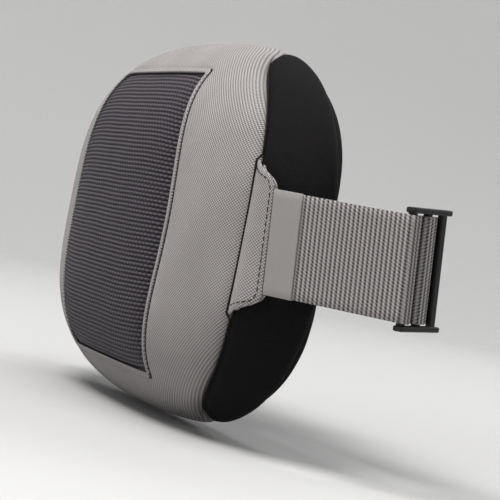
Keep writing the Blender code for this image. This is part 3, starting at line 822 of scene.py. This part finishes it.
def tongue_path():
    """The tongue's plan path: up out of the side seam, then straight along the webbing."""
    along = direction(TONGUE_ANGLE)
    inward = Vector((-along.y, along.x))
    start = TONGUE_ROOT + along * 0.0008 + inward * TONGUE_DIP
    return rounded_path([(start, 0), (TONGUE_ROOT + along * TONGUE_RISE_END, 0.010),
                         (TONGUE_ROOT + along * TONGUE_LENGTH, 0)])


def tongues(gray, thread):
    """Two cloth layers on each side with the webbing's end sewn between, stitched near the edge."""
    step = WEB / 2 + GAP + FABRIC / 2
    for side, sign in (("right", 1), ("left", -1)):
        shares = tongue_share if side == "right" else None
        for layer, place in (("outer", 1), ("inner", -1)):
            line = shifted(tongue_path(), place * step)
            if side == "left":
                line = mirrored(line)
            name = "tongue_" + side + "_" + layer + "_cloth"
            half = tongue_half if layer == "outer" else tongue_half_inner
            made = band(name, line, FABRIC + 0.0003, gray, half, shares, spacing=0.0006, rib=0.0, across=24)
            stands_for(made, "gray_fabric", "tongue_" + side + "_" + layer)
        tongue_stitch(side, sign, step, thread)


def tongue_stitch(side, sign, step, thread):
    """The row sewn 2 mm inside the tongue's free edges."""
    inset = 0.0022
    line = [(-0.0040, 0.0380 - inset), (0.0146, 0.0314 - inset), (0.0166, 0.0288 - inset)]
    line.append((TONGUE_LENGTH - inset, 0.0262 - inset))
    full = np.array(line + [(s, -z) for s, z in reversed(line)])
    run = run_lengths(full)
    s, z = sample(full, run, np.arange(0, run[-1], 0.0006)).T
    plan, ahead, length = fine(tongue_path(), 0.0003)
    at = np.clip(s + length[-1] - TONGUE_LENGTH, 0, None)
    base = sample(plan, length, at)
    right = sample(np.stack([ahead[:, 1], -ahead[:, 0]], 1), length, at)
    points = np.empty((len(s), 3))
    points[:, :2] = base + right * (step + FABRIC / 2 + 0.00026)
    points[:, 2] = z
    if side == "right":
        share = tongue_share(base, None)
        points = lean(points[:, None], share[:, None], base[:, 1][:, None])[:, 0]
    points[:, 0] *= sign
    up = np.stack([right[:, 0] * sign, right[:, 1], 0 * s], 1)
    name = "tongue_" + side + "_stitch"
    stitches(name, points, up, thread, TOPSTITCH_LENGTH, TOPSTITCH_GAP, 0.00026)


def side_seam_shade_threads(thread):
    """The seam's own thread, deep in the crease between the front cloth and the end cloth. Its dark tube also
    stands for the crease's shade: painted shade.
    """
    _, corner_z = corner()
    z = np.linspace(-0.95 * corner_z, 0.95 * corner_z, 260)
    x = seam_x(z) + 0.0001
    beside_tongue = np.clip((0.041 - np.abs(z)) / 0.003, 0, 1)
    x -= 0.0022 * beside_tongue
    y = front_y(x, z) + 0.0014 - 0.0006 * beside_tongue
    path = np.stack([x, y, z], 1)
    up = front_normal(x, z)
    across = np.cross(np.gradient(path, axis=0), up)
    across /= np.linalg.norm(across, axis=1, keepdims=True)
    radius = SEAM_SHADE_THREAD_RADIUS * np.sqrt(1 - np.linspace(-1, 1, len(z)) ** 8)[:, None]
    rings = []
    for spoke in range(SPOKES + 1):
        angle = 2 * math.pi * (spoke % SPOKES) / SPOKES
        rings.append(path + (across * math.cos(angle) + up * math.sin(angle)) * radius)
    grid = np.array(rings).transpose(1, 0, 2)
    # Dark tubes down the side seams: partly the seam's thread, partly painted shade in the crease.
    for side in ("right", "left"):
        points, faces, _ = weld({"thread": grid if side == "right" else flipped(grid, 0)})
        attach(new_object("side_seam_shade_thread_" + side, points, faces, thread), "cushion")


def sewn_loop(bar_x, sign):
    """Corners of a strap's end, folded round a buckle bar and sewn back on itself."""
    reach_x = BAR_HALF + GAP + WEB / 2
    top = BUCKLE.y + LOOP_BAR_THICK_HALF + GAP + WEB / 2
    sewn = REAR_Y + LAYER
    places = ((0.021, sewn, 0), (0.0075, sewn, 0.002), (0.0035, top, 0.002))
    places += ((-reach_x, top, 0.0016), (-reach_x, REAR_Y, 0.0016))
    return [(Vector((bar_x + sign * x, y)), radius) for x, y, radius in places]


def straps(webbing, satin, thread):
    along = direction(TONGUE_ANGLE)
    side = BAR_HALF + HINGE_GAP + WEB / 2
    top = BAR_THICK_HALF + HINGE_GAP + WEB / 2
    tongue_end = TONGUE_ROOT + along * TONGUE_LENGTH

    corners = [
        (TONGUE_ROOT + along * (TONGUE_RISE_END + 0.0015), 0),
        (tongue_end, 0.02),
        (adjuster_point(-side, top), 0.0016),
        (adjuster_point(side, top), 0.0016),
        (adjuster_point(side, -0.0034), 0.0020),
        (adjuster_point(-side - 0.0003 + LAYER, -0.0095), 0.0020),
        (adjuster_point(-side - 0.0006 + LAYER, -0.0260), 0),
    ]
    made = band("strap_front_right", rounded_path(corners), WEB, webbing, shares=tongue_share)
    stands_for(made, "webbing", "strap_right_front")

    under = -(BAR_THICK_HALF + GAP + WEB / 2)
    tail = under - LAYER - GAP
    forward_y = direction(ADJUSTER_ANGLE).y
    tail_y = REAR_Y - LAYER
    corners = [
        *sewn_loop(BUCKLE.x + SOCKET_BAR, 1),
        (adjuster_point((REAR_Y - adjuster_point(0, under).y) / forward_y, under), 0.004),
        (adjuster_point(2 * BAR_PITCH - 0.0030, under), 0.0012),
        (adjuster_point(BAR_PITCH + 0.0031, -under), 0.0012),
        (adjuster_point(BAR_PITCH - 0.0032, -under), 0.0012),
        (adjuster_point(BAR_PITCH - 0.0049, tail), 0.0012),
        (adjuster_point((tail_y - adjuster_point(0, tail).y) / forward_y, tail), 0.003),
        (Vector((TAIL_END_X, tail_y)), 0),
    ]
    path = rounded_path(corners)
    made = band("strap_rear_right", path, WEB, webbing, shares=rear_share, pivot=BAR_ONE.y)
    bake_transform(made)
    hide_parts("strap_right_rear", "strap_weave", "strap_tail")

    left_end = mirrored([tongue_end])[0]
    front_end = mirrored([front_run_end()])[0]
    run = (front_end - left_end).normalized()
    left_along = direction(math.pi - TONGUE_ANGLE)
    corners = [
        *sewn_loop(BUCKLE.x + PLUG_BAR, -1),
        (Vector((-LEFT_CORNER_X, REAR_Y)), 0.010),
        (front_end + run * 0.002, 0.009),
        (left_end, 0.02),
        (Vector((-TONGUE_ROOT.x, TONGUE_ROOT.y)) + left_along * (TONGUE_RISE_END + 0.0015), 0),
    ]
    made = band("strap_left_run", rounded_path(corners), WEB, webbing)
    stands_for(made, "webbing", "strap_left")

    label_run = (front_run_end() - tongue_end).normalized()
    start = TONGUE_ROOT + along * (TONGUE_LENGTH + GAP)
    path = shifted([start, start + label_run * LABEL_LENGTH], WEB / 2 + GAP + LABEL / 2)
    made = band("blank_label", path, LABEL + 0.0004, satin, WEB_HALF + 0.0004, tongue_share,
                spacing=0.0006, rib=0.0)
    stands_for(made, "label", "strap_label")

    box_stitch("strap_end_stitch_right", BUCKLE.x + SOCKET_BAR + 0.0085, thread)
    box_stitch("strap_end_stitch_left", BUCKLE.x + PLUG_BAR - 0.0190, thread)


def box_stitch(name, low, thread):
    """A sewn box with a cross in it, on the rear of the strap's sewn end."""
    y = REAR_Y + LAYER + WEB / 2 - 0.00002
    half = WEB_HALF - 0.004
    high = low + BOX_STITCH_LENGTH
    turns = [(low, -half), (high, -half), (high, half), (low, half), (low, -half), (high, half)]
    turns += [(low, half), (high, -half)]
    path = []
    for (x0, z0), (x1, z1) in zip(turns, turns[1:]):
        count = max(2, round(math.hypot(x1 - x0, z1 - z0) / 0.001))
        path += [(x0 + (x1 - x0) * k / count, y, z0 + (z1 - z0) * k / count) for k in range(count)]
    stitches(name, path, np.tile([0.0, 1.0, 0.0], (len(path), 1)), thread)


# ---------------------------------------------------------------- materials

class Tree:
    """Short calls for building a material's nodes."""

    def __init__(self, name, roughness, metallic=0.0, sheen=0.0, sheen_roughness=0.5, specular=0.5):
        self.material = bpy.data.materials.new(name)
        self.material.use_nodes = True
        self.nodes = self.material.node_tree.nodes
        self.links = self.material.node_tree.links
        self.shader = self.nodes["Principled BSDF"]
        self.shader.inputs["Roughness"].default_value = roughness
        self.shader.inputs["Metallic"].default_value = metallic
        self.shader.inputs["Sheen Weight"].default_value = sheen
        self.shader.inputs["Sheen Roughness"].default_value = sheen_roughness
        self.shader.inputs["Specular IOR Level"].default_value = specular

    def put(self, socket, value):
        if isinstance(value, bpy.types.NodeSocket):
            self.links.new(value, socket)
        else:
            socket.default_value = value

    def math(self, operation, a, b=0.0, c=0.0):
        made = self.nodes.new("ShaderNodeMath")
        made.operation = operation
        for socket, value in zip(made.inputs, (a, b, c)):
            self.put(socket, value)
        return made.outputs[0]

    def clamped(self, value):
        return self.math("MINIMUM", self.math("MAXIMUM", value, 0.0), 1.0)

    def noise(self, vector, scale, detail=3.0):
        made = self.nodes.new("ShaderNodeTexNoise")
        self.put(made.inputs["Vector"], vector)
        made.inputs["Scale"].default_value = scale
        made.inputs["Detail"].default_value = detail
        return made.outputs["Fac"]

    def mix(self, factor, one, two):
        made = self.nodes.new("ShaderNodeMix")
        made.data_type = "RGBA"
        self.put(made.inputs["Factor"], factor)
        self.put(made.inputs["A"], one)
        self.put(made.inputs["B"], two)
        return made.outputs["Result"]

    def weave(self):
        made = self.nodes.new("ShaderNodeUVMap")
        made.uv_map = "weave"
        parts = self.nodes.new("ShaderNodeSeparateXYZ")
        self.links.new(made.outputs["UV"], parts.inputs[0])
        return made.outputs["UV"], parts.outputs[0], parts.outputs[1]

    def place(self):
        return self.nodes.new("ShaderNodeTexCoord").outputs["Object"]

    def wave(self, value, pitch, shift=0.0):
        turns = self.math("MULTIPLY_ADD", value, 2 * math.pi / pitch, shift)
        return self.math("SINE", turns)

    def finish(self, colour, height=None, distance=0.0002, strength=1.0):
        self.put(self.shader.inputs["Base Color"], colour)
        if height is not None:
            bump = self.nodes.new("ShaderNodeBump")
            bump.inputs["Strength"].default_value = strength
            bump.inputs["Distance"].default_value = distance
            self.links.new(height, bump.inputs["Height"])
            self.links.new(bump.outputs["Normal"], self.shader.inputs["Normal"])
        return self.material


def rgb(red, green, blue):
    return (red, green, blue, 1.0)


def basket(name, dark, light, pitch=0.00130):
    """Staggered dots in rows, as on a heavy basket-weave cloth."""
    t = Tree(name, 0.9, sheen=0.08, sheen_roughness=0.5, specular=0.15)
    uv, u, v = t.weave()
    dots = t.math("MULTIPLY", t.wave(u, pitch * 1.5), t.wave(v, pitch * 1.25))
    fibre = t.noise(uv, 2600.0, 2.0)
    patch = t.noise(t.place(), 26.0, 3.0)
    height = t.math("MULTIPLY_ADD", dots, 0.5, t.math("MULTIPLY", fibre, 0.5))
    factor = t.math("MULTIPLY_ADD", dots, 0.50, t.math("MULTIPLY_ADD", fibre, 0.7, 0.08))
    factor = t.math("ADD", factor, t.math("MULTIPLY_ADD", patch, 0.3, -0.15))
    return t.finish(t.mix(t.clamped(factor), dark, light), height, 0.00022, 0.8)


def twill(name, dark, light, pitch=0.0010):
    t = Tree(name, 0.8, sheen=0.008, sheen_roughness=0.4, specular=0.07)
    uv, u, v = t.weave()
    lines = t.wave(t.math("ADD", u, v), pitch * 1.4)
    cross = t.wave(t.math("SUBTRACT", u, v), pitch * 1.1)
    fibre = t.noise(uv, 2300.0, 2.0)
    height = t.math("MULTIPLY_ADD", lines, 0.4, t.math("MULTIPLY_ADD", cross, 0.18, fibre))
    factor = t.math("MULTIPLY_ADD", lines, 0.35, t.math("MULTIPLY_ADD", fibre, 0.6, 0.15))
    return t.finish(t.mix(t.clamped(factor), dark, light), height, 0.00018, 0.8)


def air_mesh(name, dark, light):
    """Ribs in the mesh itself, with a finer row of holes between them."""
    t = Tree(name, 0.7, sheen=0.04, sheen_roughness=0.4, specular=0.2)
    uv, u, v = t.weave()
    ribs = t.math("COSINE", t.math("MULTIPLY", v, 2 * math.pi / MESH_PITCH))
    number = t.math("ROUND", t.math("DIVIDE", v, MESH_PITCH))
    odd = t.math("MULTIPLY", t.math("MODULO", t.math("ABSOLUTE", number), 2.0), math.pi)
    columns = t.wave(u, HOLE_PITCH, odd)
    fibre = t.noise(uv, 1900.0, 2.0)
    height = t.math("MULTIPLY_ADD", columns, 0.4, fibre)
    factor = t.math("MULTIPLY_ADD", ribs, 0.34, t.math("MULTIPLY", columns, 0.22))
    factor = t.math("ADD", factor, t.math("MULTIPLY", fibre, 0.55))
    return t.finish(t.mix(t.clamped(factor), dark, light), height, 0.00018, 0.7)


def webbing_cloth(name, dark, light):
    """Slanted beads along each cross rib. The ribs' own shape is in the mesh."""
    t = Tree(name, 0.8, sheen=0.05, sheen_roughness=0.4, specular=0.2)
    uv, u, v = t.weave()
    rib = t.math("COSINE", t.math("MULTIPLY", u, 2 * math.pi / RIB_PITCH))
    beads = t.wave(t.math("MULTIPLY_ADD", u, BEAD_SLANT, v), BEAD_PITCH)
    fibre = t.noise(uv, 1700.0, 2.0)
    height = t.math("MULTIPLY_ADD", beads, 0.30, fibre)
    factor = t.math("MULTIPLY_ADD", rib, 0.30, t.math("MULTIPLY_ADD", beads, 0.15, 0.10))
    factor = t.math("ADD", factor, t.math("MULTIPLY", fibre, 0.62))
    return t.finish(t.mix(t.clamped(factor), dark, light), height, 0.00020, 0.8)


def satin_cloth(name, dark, light):
    t = Tree(name, 0.5, sheen=0.05, sheen_roughness=0.3, specular=0.3)
    uv, _, v = t.weave()
    rows = t.wave(v, 0.0005)
    fibre = t.noise(uv, 1500.0, 2.0)
    factor = t.math("MULTIPLY_ADD", rows, 0.12, t.math("MULTIPLY_ADD", fibre, 0.6, 0.2))
    return t.finish(t.mix(factor, dark, light), rows, 0.00005, 0.5)


def moulded(name, dark, light, roughness=0.42):
    """Moulded plastic with a fine spark-eroded grain and slight wear."""
    t = Tree(name, roughness, specular=0.3)
    at = t.place()
    grain = t.noise(at, 1800.0, 2.0)
    wear = t.noise(at, 90.0, 4.0)
    t.put(t.shader.inputs["Roughness"], t.math("MULTIPLY_ADD", wear, 0.22, roughness - 0.08))
    return t.finish(t.mix(t.math("MULTIPLY", wear, 0.8), dark, light), grain, 0.00004, 0.4)


def enamel(name, dark, light):
    t = Tree(name, 0.34, metallic=0.85, specular=0.5)
    at = t.place()
    wear = t.noise(at, 400.0, 3.0)
    return t.finish(t.mix(wear, dark, light), t.noise(at, 1500.0, 2.0), 0.00003, 0.3)


def foam_block_cloth(name, dark, light):
    t = Tree(name, 0.95, specular=0.2)
    cells = t.noise(t.place(), 900.0, 4.0)
    return t.finish(t.mix(cells, dark, light), cells, 0.0003, 0.9)


def thread_cloth(name, dark, light):
    t = Tree(name, 0.8, sheen=0.02, specular=0.08)
    ply = t.noise(t.place(), 2500.0, 2.0)
    return t.finish(t.mix(ply, dark, light), ply, 0.00005, 0.6)


# ---------------------------------------------------------------- the rest of the object

def foam_block(material):
    """The foam inside the cover, clear of the zip's channel."""
    shrink = HALF_WIDTH / (HALF_WIDTH - FOAM_INSET)
    rows = [(HALF_WIDTH - FOAM_INSET) * math.sin(math.radians(-90 + 7.5 * i)) for i in range(25)]
    points = []
    ring = 32
    for x in rows:
        height, crown, _ = section(np.array(x * shrink))
        for k in range(ring):
            angle = 2 * math.pi * k / ring
            rise = math.sin(angle)
            facing = math.cos(angle)
            power = FRONT_HEIGHT_POWER if facing >= 0 else REAR_HEIGHT_POWER
            depth = max(float(crown) - FOAM_INSET, 0.0) if facing >= 0 else 0.002
            z = max(float(height) - FOAM_INSET, 0.0) * math.copysign(abs(rise) ** power, rise)
            y = -RIM_DEPTH - math.copysign(depth, facing) * abs(facing) ** FRONT_DEPTH_POWER
            points.append((x, y, z))
    made = new_object("foam_block", points, tube_faces(len(rows), ring), material)
    shape = bmesh.new()
    shape.from_mesh(made.data)
    bmesh.ops.remove_doubles(shape, verts=shape.verts, dist=0.0001)
    bmesh.ops.holes_fill(shape, edges=[e for e in shape.edges if e.is_boundary], sides=0)
    bmesh.ops.recalc_face_normals(shape, faces=shape.faces)
    shape.to_mesh(made.data)
    shape.free()
    stands_for(made, "foam", "foam_core")


def cut_zip_slot(back):
    """Open the rear panel over the zip's channel, for good."""
    shape = bmesh.new()
    bmesh.ops.create_cube(shape, size=1.0)
    bmesh.ops.scale(shape, vec=(2 * SLOT_HALF_LENGTH, 0.03, 2 * CHANNEL_HALF), verts=shape.verts)
    bmesh.ops.translate(shape, vec=(0, 0, ZIP_Z), verts=shape.verts)
    cutter = from_bmesh("slot_cutter", shape)
    cut = back.modifiers.new("Slot", "BOOLEAN")
    cut.object = cutter
    cut.operation = "DIFFERENCE"
    cut.solver = "EXACT"
    graph = bpy.context.evaluated_depsgraph_get()
    final = bpy.data.meshes.new_from_object(back.evaluated_get(graph))
    back.modifiers.clear()
    back.data = final
    bpy.data.objects.remove(cutter, do_unlink=True)


def zip_teeth(material):
    """The closed coil: two rows of nylon loops that mesh along the middle."""
    low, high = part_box("zipper_coil")
    shape = bmesh.new()
    floor = low.y + 0.0002
    for number in range(int((high.x - low.x - COIL_PITCH) / COIL_PITCH)):
        for side in (1, -1):
            x = low.x + COIL_PITCH * (number + 0.75 + 0.25 * side)
            rings = []
            for step in range(7):
                share = step / 6
                z = ZIP_Z + side * (0.0021 - 0.0028 * share)
                y = floor + 0.0009 * math.sin(math.pi * min(1.0, share * 0.8 + 0.1))
                radius = 0.00034 * (1.25 if step == 6 else 1.0)
                rings.append(add_ring(shape, Vector((x, y, z)), Vector((1, 0, 0)), Vector((0, 1, 0)), radius))
            bridge(shape, rings)
    bmesh.ops.recalc_face_normals(shape, faces=shape.faces)
    stands_for(from_bmesh("zip_coil_loops", shape, material), "zipper_coil", "zipper_coil")


def dress_nodes(plastic, metal, tape):
    """Better materials on the CAD nodes that stay."""
    looks = {
        plastic: ("adjuster", "buckle_socket", "buckle_plug", "buckle_prong_upper", "buckle_prong_lower"),
        metal: ("zipper_slider", "zipper_pull", "zipper_stop_left", "zipper_stop_right"),
        tape: ("zipper_tape",),
    }
    for material, names in looks.items():
        for name in names:
            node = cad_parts[name]
            node.data.materials.clear()
            node.data.materials.append(material)


def build_cushion(gray, black, mesh_cloth, thread, foam):
    patches = cover_patches()
    patches = puffed(patches)
    front = {name: patches[name] for name in ("right", "left", "top", "bottom")}
    panel("front_cloth", front, gray, ("front_panel",), "gray_fabric")
    for side in ("right", "left"):
        parts = {"cap": patches["cap_" + side]}
        panel("end_cloth_" + side, parts, black, ("end_cap_" + side,), "black_fabric")
    back = panel("back_cloth", {"back": patches["back"].transpose(1, 0, 2)}, black, ("back_panel",),
                 "black_fabric", closed=("back",))
    fill_middle(back)
    cut_zip_slot(back)
    mesh_window(patches["window"], mesh_cloth)
    window_welt(gray)
    window_topstitch(thread)
    # The side seams' dark tubes: thread and painted shade in the crease.
    side_seam_shade_threads(thread)
    foam_block(foam)


def fill_middle(back):
    """Close the small hole in the middle of the rear panel's rings."""
    shape = bmesh.new()
    shape.from_mesh(back.data)
    inner = [e for e in shape.edges if e.is_boundary and abs(e.verts[0].co.x) < 0.02]
    inner = [e for e in inner if abs(e.verts[0].co.z) < 0.02]
    bmesh.ops.holes_fill(shape, edges=inner, sides=0)
    shape.to_mesh(back.data)
    shape.free()


# ---------------------------------------------------------------- stage, lights and camera

CAMERA_AZIMUTH = math.radians(69.1)
CAMERA_ELEVATION = math.radians(0.5)
CAMERA_DISTANCE = 1.080
CAMERA_TARGET = Vector((0.0538, 0.0, -0.0066))
CAMERA_ROLL = math.radians(11.2)
CAMERA_LENS = 145.4
FLOOR_DROP = 0.001
BOWL_FLAT = 2.1
BOWL_RADIUS = 1.3


def stage_floor():
    """A pale floor that curves up far away, on all sides. Its colour is painted darker near the middle and
    paler far out, against the lamps' falloff: painted shade and painted light.
    """
    profile = [(0.0, 0.0), (BOWL_FLAT * 0.5, 0.0), (BOWL_FLAT, 0.0)]
    for step in range(1, 13):
        angle = math.radians(90 * step / 12)
        profile.append((BOWL_FLAT + BOWL_RADIUS * math.sin(angle), BOWL_RADIUS * (1 - math.cos(angle))))
    profile.append((BOWL_FLAT + BOWL_RADIUS, 5.0))
    points = []
    spokes = 64
    floor_z = CAD_BOX[0].z - FLOOR_DROP
    for radius, rise in profile[1:]:
        for k in range(spokes):
            angle = 2 * math.pi * k / spokes
            points.append((radius * math.cos(angle), radius * math.sin(angle), floor_z + rise))
    faces = grid_faces(len(profile) - 1, spokes)
    faces += [((i + 1) * spokes - 1, (i + 2) * spokes - 1, (i + 1) * spokes, i * spokes)
              for i in range(len(profile) - 2)]
    faces.append(tuple(range(spokes)))
    t = Tree("floor_paint", 0.9, specular=0.2)
    away = t.nodes.new("ShaderNodeVectorMath")
    away.operation = "LENGTH"
    t.links.new(t.place(), away.inputs[0])
    # Painted shade and light: near the object, where the lamps are strong, the floor is painted dark; out at
    # the walls, where they are weak, it is painted pale.
    far = t.math("MINIMUM", t.math("MULTIPLY", away.outputs["Value"], 0.45), 1.0)
    paint = t.finish(t.mix(far, rgb(0.42, 0.42, 0.418), rgb(0.90, 0.90, 0.895)))
    new_object("floor", points, faces, paint)


def aim(item, target):
    item.rotation_mode = "QUATERNION"
    item.rotation_quaternion = (Vector(target) - item.location).to_track_quat("-Z", "Y")


def area_light(name, azimuth, elevation, distance, size, power, colour=(1, 1, 1)):
    data = bpy.data.lights.new(name, "AREA")
    data.shape = "DISK"
    data.size = size
    data.energy = power
    data.color = colour
    made = bpy.data.objects.new(name, data)
    bpy.context.scene.collection.objects.link(made)
    a = math.radians(azimuth)
    e = math.radians(elevation)
    made.location = Vector((math.sin(a) * math.cos(e), -math.cos(a) * math.cos(e), math.sin(e))) * distance
    aim(made, (0, 0, 0))


def lights():
    area_light("key", 20, 62, 1.7, 0.8, 33, (1.0, 0.985, 0.97))
    area_light("fill", 5, 15, 2.1, 1.4, 4.5, (0.97, 0.98, 1.0))
    area_light("rear", 200, 40, 2.1, 1.4, 14)
    area_light("top", 80, 82, 1.9, 1.0, 17)
    world = bpy.data.worlds.new("studio")
    world.use_nodes = True
    world.node_tree.nodes["Background"].inputs["Color"].default_value = rgb(0.9, 0.92, 0.95)
    world.node_tree.nodes["Background"].inputs["Strength"].default_value = 0.18
    bpy.context.scene.world = world
    bpy.context.scene.view_settings.view_transform = "Standard"


def camera():
    data = bpy.data.cameras.new("camera")
    data.lens = CAMERA_LENS
    data.sensor_width = 36
    made = bpy.data.objects.new("camera", data)
    bpy.context.scene.collection.objects.link(made)
    a = CAMERA_AZIMUTH
    e = CAMERA_ELEVATION
    back = Vector((math.sin(a) * math.cos(e), -math.cos(a) * math.cos(e), math.sin(e)))
    right = Vector((math.cos(a), math.sin(a), 0))
    up = back.cross(right)
    screen_x = right * math.cos(CAMERA_ROLL) + up * math.sin(CAMERA_ROLL)
    screen_y = up * math.cos(CAMERA_ROLL) - right * math.sin(CAMERA_ROLL)
    turn = Matrix((screen_x, screen_y, back)).transposed()
    made.location = CAMERA_TARGET + back * CAMERA_DISTANCE
    made.rotation_mode = "QUATERNION"
    made.rotation_quaternion = turn.to_quaternion()
    bpy.context.scene.camera = made


def main():
    gray = basket("gray_basket_cloth", rgb(0.085, 0.079, 0.078), rgb(0.44, 0.415, 0.41))
    black = twill("black_twill", rgb(0.0005, 0.0005, 0.0005), rgb(0.0125, 0.0112, 0.0122))
    mesh_cloth = air_mesh("charcoal_air_mesh", rgb(0.004, 0.003, 0.005), rgb(0.115, 0.10, 0.118))
    webbing = webbing_cloth("gray_webbing_weave", rgb(0.022, 0.020, 0.019), rgb(0.46, 0.435, 0.43))
    satin = satin_cloth("gray_satin", rgb(0.20, 0.19, 0.187), rgb(0.30, 0.285, 0.28))
    thread = thread_cloth("dark_thread", rgb(0.003, 0.003, 0.003), rgb(0.022, 0.020, 0.019))
    plastic = moulded("black_moulding", rgb(0.003, 0.003, 0.003), rgb(0.010, 0.0095, 0.009))
    metal = enamel("black_enamel", rgb(0.02, 0.02, 0.022), rgb(0.05, 0.05, 0.055))
    tape = moulded("black_tape", rgb(0.003, 0.003, 0.003), rgb(0.009, 0.009, 0.009), 0.85)
    foam = foam_block_cloth("cream_foam", rgb(0.55, 0.50, 0.36), rgb(0.78, 0.74, 0.60))

    build_cushion(gray, black, mesh_cloth, thread, foam)
    tongues(gray, thread)
    straps(webbing, satin, thread)
    zip_teeth(plastic)
    dress_nodes(plastic, metal, tape)
    stage_floor()
    lights()
    camera()


main()
